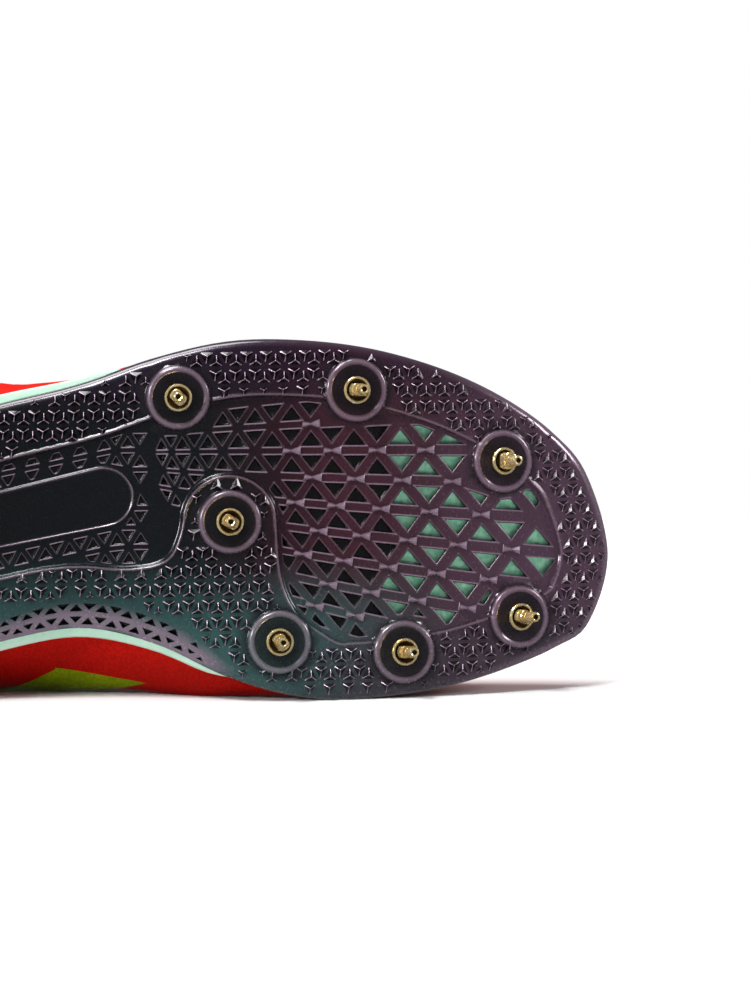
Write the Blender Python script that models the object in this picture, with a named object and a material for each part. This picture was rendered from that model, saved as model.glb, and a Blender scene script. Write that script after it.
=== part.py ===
"""Track spike shoe for the right foot, lying on its medial side with the sole turned to -Y.

The shoe is worked out upright in millimetres: x from heel to toe, w to the lateral side, h up.
It is then turned onto the flat that its own hull rests on and scaled to metres.
"""
import math

import bmesh
import bpy
from mathutils import Matrix, Vector, geometry

# Main sizes in millimetres
LENGTH = 289.0
BALL_WIDTH = 97.4
BALL_X = 0.6678 * LENGTH
SPRING_RADIUS = 195.0
PLATE = 2.4
RECESS = 0.8
POCKET = 1.6
GAP = 0.36
RIM_WALL = 1.4
ZONE_BAND = 15.6
ARCH_BAND = 1.5
RIB = 2.5
WALL = 1.5
STAY = 0.8
INSOLE = 2.6
BOSS_RADIUS = 8.3
BOSS_FACE = 7.2
BOSS_HEIGHT = 1.5
SOCKET_RADIUS = 2.9
SOCKET_DEPTH = 2.4
PIN_FLANGE = 3.7
PIN_LENGTH = 8.7
THROUGH_X = 0.7751 * LENGTH
SIDE_STEPS = 34

# Tips of the outline, as shares of BALL_WIDTH to the lateral side
HEEL_TIP = -0.144
TOE_TIP = -0.103

# Edge of the sole: share of LENGTH, lateral and medial edge as shares of BALL_WIDTH
OUTLINE = (
    # along, lateral, medial
    (0.0298, 0.040, -0.330),
    (0.0894, 0.140, -0.432),
    (0.1688, 0.185, -0.466),
    (0.2483, 0.210, -0.448),
    (0.3277, 0.260, -0.395),
    (0.4072, 0.329, -0.329),
    (0.4866, 0.385, -0.290),
    (0.5561, 0.454, -0.336),
    (0.6256, 0.499, -0.434),
    (0.6952, 0.501, -0.490),
    (0.7647, 0.475, -0.492),
    (0.8342, 0.417, -0.466),
    (0.8938, 0.338, -0.419),
    (0.9434, 0.240, -0.364),
    (0.9782, 0.122, -0.298),
)

# Underside behind the ball: share of LENGTH and height over the floor
PROFILE = (
    # along, height
    (0.0000, 1.6),
    (0.0346, 0.3),
    (0.0692, 0.0),
    (0.2077, 0.0),
    (0.3184, 3.6),
    (0.4152, 6.0),
    (0.5017, 4.9),
    (0.5744, 1.9),
    (0.6678, 0.0),
)

# Edge of the plate and foam: share of LENGTH, then millimetres
EDGE = (
    # along, inset medial, inset lateral, overhang medial, overhang lateral, foam band, foam top
    (0.0000, 2.6, 2.6, 2.2, 2.2, 10.0, 19.5),
    (0.2077, 2.6, 2.6, 2.2, 2.2, 9.5, 18.5),
    (0.3287, 4.0, 2.6, 2.2, 2.2, 7.5, 15.0),
    (0.4083, 6.2, 2.6, 2.2, 2.0, 5.5, 12.5),
    (0.4844, 7.8, 2.6, 2.2, 1.3, 4.5, 10.5),
    (0.5536, 7.2, 2.3, 1.6, 0.4, 3.6, 9.5),
    (0.5952, 5.2, 2.3, 0.6, 0.0, 2.6, 9.0),
    (0.6401, 2.6, 2.3, 0.0, 0.0, 1.2, 8.6),
    (1.0000, 2.4, 2.3, 0.0, 0.0, 0.8, 8.0),
)

# Centre line of the opening: share of LENGTH and offset to the lateral side
AXIS = (
    # along, offset
    (0.0000, -14.0),
    (0.3460, -12.0),
    (0.6471, -5.0),
    (1.0000, -10.0),
)

# Upper: share of the way along one edge, opening as a share of LENGTH, then millimetres
UPPER = (
    # way, open along, half width, height, out low lateral, out low medial, up low, out high, down high
    (0.00, 0.0208, 0.0, 70.0, 5.0, 5.0, 20.0, 6.0, 20.0),
    (0.07, 0.0346, 15.0, 68.5, 5.0, 4.0, 19.0, 6.0, 20.0),
    (0.15, 0.0934, 24.0, 61.0, 5.0, 1.0, 17.0, 6.0, 17.0),
    (0.24, 0.1799, 27.0, 56.0, 6.0, 0.0, 15.0, 5.5, 14.0),
    (0.33, 0.2664, 26.0, 61.0, 12.0, 6.0, 13.0, 9.0, 17.0),
    (0.40, 0.3287, 22.5, 69.0, 13.0, 18.0, 12.0, 12.0, 20.0),
    (0.50, 0.4083, 18.5, 67.0, 3.5, 28.0, 11.0, 14.0, 18.0),
    (0.60, 0.4949, 14.5, 60.0, 1.0, 18.0, 12.0, 16.0, 11.0),
    (0.70, 0.5709, 11.0, 54.0, 0.5, 0.5, 14.0, 18.0, 6.0),
    (0.80, 0.6159, 8.5, 50.5, 1.0, 2.0, 15.0, 22.0, 2.5),
    (0.90, 0.6367, 5.0, 49.0, 2.0, 2.0, 14.0, 33.0, 0.5),
    (1.00, 0.6436, 0.0, 48.5, 2.0, 2.0, 13.0, 48.0, 0.0),
)

# Bosses: share of LENGTH, side, way in from the sole's edge, turn of the pin's flats in degrees
BOSS_ROWS = (
    # along, side, inward, turn; on side 0 inward is the offset to the lateral side
    (0.5779, 1, 12.5, 45.0),
    (0.7450, 1, 12.2, 5.0),
    (0.8886, 1, 18.0, 90.0),
    (0.9038, -1, 13.0, 20.0),
    (0.7882, -1, 11.6, 0.0),
    (0.6695, -1, 13.7, 60.0),
    (0.6245, 0, -0.1, 30.0),
)

# Land that reaches in to the middle boss, as shares of LENGTH and BALL_WIDTH
LAND_AHEAD = ((0.7128, -0.3131), (0.6851, -0.2464), (0.6723, -0.1437))
LAND_BEHIND = ((0.5744, -0.0606), (0.5640, -0.1027), (0.5432, -0.1211))
LAND_REACH = 12.5
LAND_START = 0.7197
LAND_END = 0.5259

# Fan of windows: first node as a share of LENGTH, steps as shares of LENGTH and BALL_WIDTH
FAN_START = 0.6861
FAN_STEP = 0.03651
FAN_GROWTH = 0.00215
FAN_LEAN = 0.00242
FAN_BOW = 0.000467
FAN_TOP = 0.194
FAN_ROW = 0.07156
FAN_SPREAD = 0.00486
FAN_MIDDLE = 4

# Colour, roughness and metal of each material
LOOKS = {
    "plate": ((0.05, 0.045, 0.08), 0.25, 0.3),
    "foam": ((0.42, 0.80, 0.66), 0.6, 0.0),
    "insole": ((0.20, 0.20, 0.22), 0.8, 0.0),
    "upper": ((0.75, 0.03, 0.02), 0.6, 0.0),
    "tongue": ((0.60, 0.03, 0.02), 0.8, 0.0),
    "lace": ((0.70, 0.70, 0.66), 0.8, 0.0),
    "spike": ((0.72, 0.52, 0.22), 0.3, 1.0),
}

DENSITY = {"plate": 1.1, "foam": 0.18, "insole": 0.15, "upper": 0.35, "tongue": 0.25, "lace": 0.6, "spike": 8.4}


def lerp(a, b, t):
    return a + (b - a) * t


def curve(x, rows, column):
    """Smooth value of one column of a table at x."""
    if x <= rows[0][0]:
        return rows[0][column]
    if x >= rows[-1][0]:
        return rows[-1][column]
    i = 0
    while rows[i + 1][0] < x:
        i += 1

    def slope(k):
        if k <= 0 or k >= len(rows) - 1:
            return 0.0
        left = (rows[k][column] - rows[k - 1][column]) / (rows[k][0] - rows[k - 1][0])
        right = (rows[k + 1][column] - rows[k][column]) / (rows[k + 1][0] - rows[k][0])
        if left * right <= 0.0:
            return 0.0
        return 2.0 * left * right / (left + right)

    span = rows[i + 1][0] - rows[i][0]
    t = (x - rows[i][0]) / span
    a = rows[i][column]
    b = rows[i + 1][column]
    return (a * (1 + 2 * t) * (1 - t) ** 2 + b * t * t * (3 - 2 * t)
            + span * (slope(i) * t * (1 - t) ** 2 - slope(i + 1) * t * t * (1 - t)))


def under(x):
    """Height of the plate's underside over a flat floor."""
    if x > BALL_X:
        run = min(x - BALL_X, SPRING_RADIUS * 0.7)
        return SPRING_RADIUS - math.sqrt(SPRING_RADIUS ** 2 - run ** 2)
    return curve(x / LENGTH, PROFILE, 1)


def slope_at(x):
    return (under(x + 0.5) - under(x - 0.5)) / 1.0


def spline(points, closed, steps):
    """Catmull-Rom curve through the points."""
    count = len(points)
    result = []
    spans = count if closed else count - 1
    for i in range(spans):
        if closed:
            p = [points[(i + k) % count] for k in (-1, 0, 1, 2)]
        else:
            p = [points[min(max(i + k, 0), count - 1)] for k in (-1, 0, 1, 2)]
        for j in range(steps):
            t = j / steps
            result.append(0.5 * (2 * p[1] + (p[2] - p[0]) * t + (2 * p[0] - 5 * p[1] + 4 * p[2] - p[3]) * t * t
                                 + (3 * p[1] - p[0] - 3 * p[2] + p[3]) * t ** 3))
    if not closed:
        result.append(points[-1].copy())
    return result


def side_lines():
    """Fine lines along the lateral and the medial edge, each from heel tip to toe tip."""
    lateral = [Vector((row[0] * LENGTH, row[1] * BALL_WIDTH)) for row in OUTLINE]
    medial = [Vector((row[0] * LENGTH, row[2] * BALL_WIDTH)) for row in OUTLINE]
    heel = Vector((0.0, HEEL_TIP * BALL_WIDTH))
    toe = Vector((LENGTH, TOE_TIP * BALL_WIDTH))
    ring = [heel] + lateral + [toe] + medial[::-1]
    fine = spline(ring, True, 16)
    half = (len(lateral) + 1) * 16
    first = fine[:half + 1]
    second = (fine[half:] + [fine[0]])[::-1]
    return {1: first, -1: second}


LINES = side_lines()


def edge_at(x, side):
    """Offset of the sole's edge at x."""
    for a, b in zip(LINES[side], LINES[side][1:]):
        if a.x <= x <= b.x:
            return lerp(a.y, b.y, (x - a.x) / (b.x - a.x))
    return 0.0


def boss_centres():
    """Centre and turn of every boss, each set in from the edge that it is nearest to."""
    result = []
    for way, side, inward, turn in BOSS_ROWS:
        x = way * LENGTH
        offset = edge_at(x, side) - side * inward if side else inward
        result.append((x, offset, turn))
    return result


BOSSES = boss_centres()


def along(points, share):
    """Point and direction at a share of the line's length."""
    lengths = [0.0]
    for a, b in zip(points, points[1:]):
        lengths.append(lengths[-1] + (b - a).length)
    goal = share * lengths[-1]
    i = 0
    while i < len(points) - 2 and lengths[i + 1] < goal:
        i += 1
    t = (goal - lengths[i]) / max(lengths[i + 1] - lengths[i], 1e-9)
    return points[i].lerp(points[i + 1], t), (points[i + 1] - points[i]).normalized()


def share_of(step):
    """Way along one side, closer together at heel and toe."""
    t = step / SIDE_STEPS
    return 0.55 * t + 0.45 * (0.5 - 0.5 * math.cos(math.pi * t))


def edge(side, share):
    """Point of the outline and its outward direction."""
    point, _ = along(LINES[side], share)
    before, _ = along(LINES[side], max(share - 0.012, 0.0))
    after, _ = along(LINES[side], min(share + 0.012, 1.0))
    tangent = (after - before).normalized()
    if share < 1e-6:
        return point, Vector((-1.0, 0.0))
    if share > 1.0 - 1e-6:
        return point, Vector((1.0, 0.0))
    return point, Vector((-tangent.y, tangent.x)) * side


def edge_value(x, side, medial_column):
    """Column of EDGE for one side; the lateral column follows the medial one."""
    return curve(x / LENGTH, EDGE, medial_column if side < 0 else medial_column + 1)


def ring_shares():
    """Side and share of every sample round the shoe, heel tip first, lateral side first."""
    first = [(1, share_of(i)) for i in range(SIDE_STEPS + 1)]
    second = [(-1, share_of(i)) for i in range(SIDE_STEPS - 1, 0, -1)]
    return first + second


RING = [(side, share) + edge(side, share) for side, share in ring_shares()]


def inset_of(point, side):
    return edge_value(point.x, side, 1)


def rise_of(point, side):
    """Height of the plate's rim over the underside."""
    return 3.4 + 0.75 * (inset_of(point, side) - 2.6)


def shelf_of(point, side):
    """One where foam shows beside the plate, nought where the upper meets the plate."""
    return min(1.0, edge_value(point.x, side, 3) / 1.0)


def band_of(point, side):
    return curve(point.x / LENGTH, EDGE, 5)


def foam_top(x):
    return curve(x / LENGTH, EDGE, 6)


def offset_ring(amount, height):
    """Ring of points: the outline moved out by amount and lifted to height over the underside."""
    result = []
    for side, share, point, out in RING:
        spot = point + out * amount(point, side)
        result.append(Vector((spot.x, spot.y, under(spot.x) + height(point, side))))
    return result


def inside(point, polygon):
    hit = False
    x, y = point[0], point[1]
    for i, a in enumerate(polygon):
        b = polygon[i - 1]
        if (a[1] > y) != (b[1] > y) and x < (b[0] - a[0]) * (y - a[1]) / (b[1] - a[1]) + a[0]:
            hit = not hit
    return hit


def add_object(name, look, bm):
    bmesh.ops.triangulate(bm, faces=bm.faces[:])
    bmesh.ops.recalc_face_normals(bm, faces=bm.faces[:])
    mesh = bpy.data.meshes.new(name)
    bm.to_mesh(mesh)
    bm.free()
    obj = bpy.data.objects.new(name, mesh)
    bpy.context.collection.objects.link(obj)
    material = bpy.data.materials.new(name)
    material.use_nodes = True
    shader = material.node_tree.nodes["Principled BSDF"]
    colour, rough, metal = LOOKS[look]
    shader.inputs["Base Color"].default_value = (*colour, 1.0)
    shader.inputs["Roughness"].default_value = rough
    shader.inputs["Metallic"].default_value = metal
    material.diffuse_color = (*colour, 1.0)
    obj.data.materials.append(material)
    obj["look"] = look
    return obj


def bridge(bm, first, second):
    """Quads between two rings of the same length."""
    count = len(first)
    for i in range(count):
        j = (i + 1) % count
        bm.faces.new((first[i], first[j], second[j], second[i]))


def fill_ring(bm, ring, columns, height):
    """Close a ring by rows across the shoe, each point at the height given for its x and share."""
    last = SIDE_STEPS
    rows = []
    for j in range(1, last):
        left = ring[j]
        right = ring[-j]
        row = [left]
        for c in range(1, columns):
            t = c / columns
            flat = left.co.lerp(right.co, t)
            row.append(bm.verts.new((flat.x, flat.y, height(flat.x, t))))
        row.append(right)
        rows.append(row)
    for a, b in zip(rows, rows[1:]):
        for c in range(columns):
            bm.faces.new((a[c], a[c + 1], b[c + 1], b[c]))
    for c in range(columns):
        bm.faces.new((ring[0], rows[0][c], rows[0][c + 1]))
        bm.faces.new((ring[last], rows[-1][c + 1], rows[-1][c]))


def lattice_node(row, u):
    """Node of the window fan."""
    below = row - FAN_MIDDLE
    x = FAN_START + FAN_STEP * u + FAN_GROWTH * u * u + FAN_LEAN * below + FAN_BOW * below * below
    offset = FAN_TOP - (FAN_ROW + FAN_SPREAD * u) * (row - 2)
    return Vector((x * LENGTH, offset * BALL_WIDTH))


def window_triangles():
    """Windows between the ribs of the fan."""
    result = []
    for row in range(0, 9):
        for k in range(-3, 7):
            half = 0.5 if row % 2 else 0.0
            other = 0.0 if row % 2 else 0.5
            up = (lattice_node(row, k + half), lattice_node(row, k + 1 + half), lattice_node(row + 1, k + 0.5 + half))
            base = k + other
            down = (lattice_node(row + 1, base), lattice_node(row + 1, base + 1), lattice_node(row, base + 0.5))
            for corners in (up, down):
                centre = (corners[0] + corners[1] + corners[2]) / 3.0
                inner = 1e9
                for i in range(3):
                    a = corners[i]
                    b = corners[(i + 1) % 3]
                    side = (b - a).normalized()
                    inner = min(inner, abs(side.x * (centre - a).y - side.y * (centre - a).x))
                scale = (inner - RIB / 2.0) / inner
                result.append([centre + (corner - centre) * scale for corner in corners])
    return result


def zone_line():
    """Border of the recessed middle zone, with the land that reaches in to the seventh boss."""
    result = []
    centre = Vector(BOSSES[6][:2])
    notch = [Vector((a * LENGTH, b * BALL_WIDTH)) for a, b in LAND_AHEAD]
    for degrees in range(0, 181, 20):
        angle = math.radians(degrees)
        notch.append(centre + Vector((math.cos(angle), math.sin(angle))) * LAND_REACH)
    notch += [Vector((a * LENGTH, b * BALL_WIDTH)) for a, b in LAND_BEHIND]
    placed = False
    for side, share, point, out in RING:
        arch = side < 0 and point.x < BOSSES[6][0]
        band = ZONE_BAND + (ARCH_BAND if arch else 0.0)
        spot = point - out * band
        if side > 0 or spot.x > LAND_START * LENGTH or spot.x < LAND_END * LENGTH:
            if result and share > 0.9 or share < 0.1:
                if result and (result[-1] - spot).length < 3.5:
                    continue
            result.append(spot)
        elif not placed:
            result += notch
            placed = True
    return result


def circle(x, y, radius, count):
    return [Vector((x + radius * math.cos(2 * math.pi * i / count), y + radius * math.sin(2 * math.pi * i / count)))
            for i in range(count)]


def make_plate():
    bottom = [point - out * inset_of(point, side) for side, share, point, out in RING]
    zone = zone_line()
    points = []
    edges = []

    def add_loop(loop):
        start = len(points)
        points.extend(Vector((p.x, p.y)) for p in loop)
        edges.extend((start + i, start + (i + 1) % len(loop)) for i in range(len(loop)))

    add_loop(bottom)
    add_loop(zone)
    windows = []
    for corners in window_triangles():
        centre = (corners[0] + corners[1] + corners[2]) / 3.0
        tests = corners + [centre] + [centre.lerp(c, 0.5) for c in corners]
        good = 0
        for p in tests:
            clear = all((p - Vector((b[0], b[1]))).length > BOSS_RADIUS for b in BOSSES)
            good += inside(p, zone) and clear
        if good >= 4 and centre.x > BOSSES[6][0]:
            windows.append(corners)
            add_loop(corners)
    for x, y, turn in BOSSES:
        add_loop(circle(x, y, BOSS_RADIUS, 20))
        add_loop(circle(x, y, BOSS_FACE, 20))
        add_loop(circle(x, y, SOCKET_RADIUS, 10))
    fixed = list(points)
    steps = int(LENGTH / 10.0)
    for i in range(1, steps):
        x = i * 10.0
        for k in range(-5, 6):
            spot = Vector((x, k * 11.0 + (i % 2) * 5.0))
            if inside(spot, bottom) and min((spot - p).length for p in fixed) > 4.5:
                points.append(spot)
    verts, _, faces, _, _, _ = geometry.delaunay_2d_cdt(points, edges, [], 0, 1e-4)

    THROUGH = 9
    kept = []
    for face in faces:
        centre = sum((verts[i] for i in face), Vector((0.0, 0.0))) / len(face)
        if not inside(centre, bottom):
            continue
        level = 1 if inside(centre, zone) else 0
        for x, y, turn in BOSSES:
            distance = (centre - Vector((x, y))).length
            if distance < BOSS_RADIUS:
                level = 0
            if distance < SOCKET_RADIUS:
                level = 3
        if level == 1:
            for corners in windows:
                if inside(centre, corners):
                    middle = (corners[0] + corners[1] + corners[2]) / 3.0
                    level = THROUGH if middle.x > THROUGH_X else 2
        kept.append((tuple(face), level))

    def height(vertex, level):
        p = verts[vertex]
        base = under(p.x)
        if level == 0 or level == 3:
            bump = 0.0
            for x, y, turn in BOSSES:
                distance = (p - Vector((x, y))).length
                if distance < BOSS_FACE + 0.2:
                    bump = BOSS_HEIGHT
            return base - bump + (SOCKET_DEPTH if level == 3 else 0.0)
        if level == 1:
            return base + RECESS
        if level == 2:
            return base + POCKET
        return base + PLATE

    bm = bmesh.new()
    made = {}

    def vertex(index, level):
        key = (index, 4 if level == THROUGH else level)
        if key not in made:
            p = verts[index]
            made[key] = bm.verts.new((p.x, p.y, height(index, key[1])))
        return made[key]

    used = {}
    sides = {}
    for face, level in kept:
        for a, b in zip(face, face[1:] + face[:1]):
            used.setdefault(a, set()).add(4 if level == THROUGH else level)
            sides.setdefault(tuple(sorted((a, b))), []).append((level, (a, b)))
        if level == THROUGH:
            continue
        bm.faces.new([vertex(i, level) for i in face][::-1])
        bm.faces.new([vertex(i, 4) for i in face])
    border = {}
    for key, owners in sides.items():
        if len(owners) == 1:
            border[owners[0][1][0]] = owners[0][1][1]
            continue
        (first, ends), (second, _) = owners
        first = 4 if first == THROUGH else first
        second = 4 if second == THROUGH else second
        if first == second:
            continue
        chains = []
        for end in ends:
            low, high = sorted((height(end, first), height(end, second)))
            levels = [l for l in used[end] if low - 1e-6 <= height(end, l) <= high + 1e-6]
            levels.sort(key=lambda l: height(end, l))
            if height(end, first) > height(end, second):
                levels.reverse()
            chains.append([vertex(end, l) for l in levels])
        a, b = chains
        i = j = 0
        while i < len(a) - 1 or j < len(b) - 1:
            if j == len(b) - 1 or (i < len(a) - 1 and i <= j):
                bm.faces.new((a[i], a[i + 1], b[j]))
                i += 1
            else:
                bm.faces.new((a[i], b[j + 1], b[j]))
                j += 1

    start = min(border, key=lambda i: (verts[i] - bottom[0]).length)
    order = [start]
    while border[order[-1]] != start:
        order.append(border[order[-1]])
    if (verts[order[1]] - bottom[1]).length > 0.01:
        order = [order[0]] + order[:0:-1]
    low = [vertex(i, 0) for i in order]
    top = [vertex(i, 4) for i in order]
    outer = [bm.verts.new(p) for p in offset_ring(lambda p, s: 0.0, rise_of)]
    shoulder = [bm.verts.new(p) for p in offset_ring(lambda p, s: -0.25 * inset_of(p, s),
                                                     lambda p, s: 0.30 * rise_of(p, s))]
    inner = [bm.verts.new(p) for p in offset_ring(lambda p, s: -RIM_WALL, lambda p, s: rise_of(p, s) + 0.1)]
    bridge(bm, low, shoulder)
    bridge(bm, shoulder, outer)
    bridge(bm, outer, inner)
    bridge(bm, inner, top)
    return add_object("outsole_plate", "plate", bm)


def make_midsole():
    bm = bmesh.new()

    def ring(amount, height):
        return [bm.verts.new(p) for p in offset_ring(amount, height)]

    def over(p, s):
        return lerp(-2.7, edge_value(p.x, s, 3), shelf_of(p, s))

    def seat(p, s):
        return rise_of(p, s) + lerp(0.8, band_of(p, s), shelf_of(p, s))

    low = ring(lambda p, s: -inset_of(p, s) - 1.0, lambda p, s: PLATE + GAP)
    wall = ring(lambda p, s: -2.7, lambda p, s: rise_of(p, s) + GAP)
    under_lip = ring(lambda p, s: over(p, s) - 0.01, lambda p, s: rise_of(p, s) + GAP + 0.15)
    lip = ring(lambda p, s: over(p, s) + 0.3 * shelf_of(p, s), lambda p, s: lerp(rise_of(p, s) + 0.7, seat(p, s), 0.7))
    shelf = ring(lambda p, s: over(p, s) - 0.4, seat)
    inner = ring(lambda p, s: -3.5, lambda p, s: seat(p, s) + 0.2)
    top = ring(lambda p, s: -4.2, lambda p, s: max(foam_top(p.x), seat(p, s) + 1.0))
    rings = [low, wall, under_lip, lip, shelf, inner, top]
    for a, b in zip(rings, rings[1:]):
        bridge(bm, a, b)
    fill_ring(bm, low, 5, lambda x, t: under(x) + PLATE + GAP)
    fill_ring(bm, top, 5, lambda x, t: under(x) + foam_top(x))
    return add_object("midsole", "foam", bm)


def make_insole():
    bm = bmesh.new()

    def foot(p, s):
        seat = rise_of(p, s) + lerp(0.8, band_of(p, s), shelf_of(p, s))
        return max(foam_top(p.x), seat + 1.0)

    low = [bm.verts.new(p) for p in offset_ring(lambda p, s: -5.2, lambda p, s: foot(p, s) + GAP + 0.1)]
    top = [bm.verts.new(p) for p in offset_ring(lambda p, s: -5.6, lambda p, s: foot(p, s) + GAP + INSOLE)]
    bridge(bm, low, top)
    fill_ring(bm, low, 5, lambda x, t: under(x) + foam_top(x) + GAP + 0.1)
    fill_ring(bm, top, 5, lambda x, t: under(x) + foam_top(x) + GAP + INSOLE)
    return add_object("insole", "insole", bm)


def opening(side, share):
    x = curve(share, UPPER, 1) * LENGTH
    half = curve(share, UPPER, 2)
    if share < 0.07:
        half = UPPER[1][2] * math.sqrt(max(0.0, 1.0 - (1.0 - share / 0.07) ** 2))
    if share > 0.90:
        half = UPPER[-2][2] * math.sqrt(max(0.0, 1.0 - ((share - 0.90) / 0.10) ** 2))
    return Vector((x, curve(x / LENGTH, AXIS, 1) + side * half, curve(share, UPPER, 3)))


def upper_base(side, share):
    point, out = edge(side, share)
    shelf = shelf_of(point, side)
    amount = lerp(-0.6, edge_value(point.x, side, 3) - 0.8, shelf)
    rise = rise_of(point, side)
    height = rise + lerp(GAP + 0.3, band_of(point, side) + GAP, shelf) + 0.7 * math.sin(math.pi * shelf)
    spot = point + out * amount
    return Vector((spot.x, spot.y, under(spot.x) + height)), Vector((out.x, out.y, 0.0))


def upper_point(side, share, t):
    """Smooth outer surface of the upper: t runs from the sole to the opening."""
    foot, out = upper_base(side, share)
    head = opening(side, share)
    low = foot + out * curve(share, UPPER, 4 if side > 0 else 5) + Vector((0, 0, curve(share, UPPER, 6)))
    high = head + out * curve(share, UPPER, 7) - Vector((0, 0, curve(share, UPPER, 8)))
    s = 1.0 - t
    return foot * s ** 3 + low * 3 * s * s * t + high * 3 * s * t * t + head * t ** 3


def upper_normal(side, share, t):
    d = 0.004
    a = max(share - d, 0.0)
    b = min(share + d, 1.0)
    across = upper_point(side, b, t) - upper_point(side, a, t)
    if share < 1e-6:
        across = upper_point(1, d, t) - upper_point(-1, d, t)
        normal = across.cross(upper_point(1, 0.0, min(t + d, 1.0)) - upper_point(1, 0.0, max(t - d, 0.0)))
        return normal.normalized() * (1 if normal.x < 0 else -1)
    if share > 1.0 - 1e-6:
        across = upper_point(1, 1.0 - d, t) - upper_point(-1, 1.0 - d, t)
        normal = across.cross(upper_point(1, 1.0, min(t + d, 1.0)) - upper_point(1, 1.0, max(t - d, 0.0)))
        return normal.normalized() * (1 if normal.x + normal.z > 0 else -1)
    rise = upper_point(side, share, min(t + d, 1.0)) - upper_point(side, share, max(t - d, 0.0))
    normal = across.cross(rise).normalized() * side
    return -normal


UPPER_ROWS = (0.0, 0.12, 0.26, 0.40, 0.54, 0.67, 0.785, 0.80, 1.0)


def stay_of(share, t):
    """Extra thickness of the eyestay round the throat."""
    return STAY if t > 0.79 and share > 0.36 else 0.0


def make_upper():
    bm = bmesh.new()
    outer = []
    inner = []
    for t in UPPER_ROWS:
        ring_out = []
        ring_in = []
        for side, share, point, out in RING:
            spot = upper_point(side, share, t)
            normal = upper_normal(side, share, t)
            if t == 0.0:
                normal = Vector((normal.x, normal.y, 0.0)).normalized()
            ring_out.append(bm.verts.new(spot + normal * stay_of(share, t)))
            ring_in.append(bm.verts.new(spot - normal * WALL))
        outer.append(ring_out)
        inner.append(ring_in)
    for a, b in zip(outer, outer[1:]):
        bridge(bm, a, b)
    for a, b in zip(inner, inner[1:]):
        bridge(bm, b, a)
    bridge(bm, inner[0], outer[0])
    bridge(bm, outer[-1], inner[-1])
    return add_object("upper", "upper", bm)


def sheet_solid(name, look, rows, lift):
    """Solid between rows of points and the same rows moved along lift."""
    bm = bmesh.new()
    top = [[bm.verts.new(p) for p in row] for row in rows]
    low = [[bm.verts.new(p + m) for p, m in zip(row, moves)] for row, moves in zip(rows, lift)]
    count = len(rows[0])
    for grid in (top, low):
        for a, b in zip(grid, grid[1:]):
            for c in range(count - 1):
                bm.faces.new((a[c], a[c + 1], b[c + 1], b[c]))
    rim = [(0, c) for c in range(count)] + [(r, count - 1) for r in range(1, len(rows))]
    rim += [(len(rows) - 1, c) for c in range(count - 2, -1, -1)] + [(r, 0) for r in range(len(rows) - 2, 0, -1)]
    for (r, c), (s, d) in zip(rim, rim[1:] + rim[:1]):
        bm.faces.new((top[r][c], top[s][d], low[s][d], low[r][c]))
    return add_object(name, look, bm)


def make_tongue():
    rows = []
    lifts = []
    thick = 2.2
    for share in (0.90, 0.84, 0.78, 0.71, 0.64, 0.57, 0.50):
        points = []
        for side, t in ((1, 0.80), (1, 0.90), (1, 1.0), (0, 1.0), (-1, 1.0), (-1, 0.90), (-1, 0.80)):
            if side == 0:
                points.append((opening(1, share) + opening(-1, share)) * 0.5 - Vector((0, 0, 1.6)))
            else:
                points.append(upper_point(side, share, t) - upper_normal(side, share, t) * (WALL + 1.1))
        rows.append(spline(points, False, 2))
    for scale, back, lift in ((0.62, -12.0, 4.5), (0.97, -12.0, 8.5), (0.93, -9.0, 10.0)):
        last = rows[-1]
        middle = last[len(last) // 2]
        rows.append([middle + (p - middle) * scale + Vector((back, 0.0, lift)) for p in last])
    for i, row in enumerate(rows):
        ahead = rows[min(i + 1, len(rows) - 1)]
        behind = rows[max(i - 1, 0)]
        moves = []
        for c in range(len(row)):
            across = row[min(c + 1, len(row) - 1)] - row[max(c - 1, 0)]
            normal = (ahead[c] - behind[c]).cross(across).normalized()
            if normal.z > 0:
                normal = -normal
            moves.append(normal * thick)
        lifts.append(moves)
    return sheet_solid("tongue", "tongue", rows, lifts)


def make_lace(index, share):
    points = []
    lift = lerp(1.8, 1.0, (share - 0.46) / 0.28)
    for side, t in ((1, 0.87), (1, 0.93), (1, 0.99), (0, 1.0), (-1, 0.99), (-1, 0.93), (-1, 0.87)):
        if side == 0:
            points.append((opening(1, share) + opening(-1, share)) * 0.5 + Vector((0, 0, 3.0)))
        else:
            points.append(upper_point(side, share, t) + upper_normal(side, share, t) * (STAY + lift))
    path = spline(points, False, 2)
    forward = (opening(1, min(share + 0.03, 1.0)) - opening(1, share - 0.03))
    bm = bmesh.new()
    rings = []
    for i, p in enumerate(path):
        tangent = (path[min(i + 1, len(path) - 1)] - path[max(i - 1, 0)]).normalized()
        wide = (forward - tangent * forward.dot(tangent)).normalized()
        thin = tangent.cross(wide).normalized()
        rings.append([bm.verts.new(p + wide * a + thin * b) for a, b in
                      ((-2.9, 0.0), (-2.3, 0.6), (2.3, 0.6), (2.9, 0.0), (2.3, -0.6), (-2.3, -0.6))])
    for a, b in zip(rings, rings[1:]):
        bridge(bm, a, b)
    bm.faces.new(rings[0])
    bm.faces.new(rings[-1][::-1])
    return add_object("lace_bar_%d" % index, "lace", bm)


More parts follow.
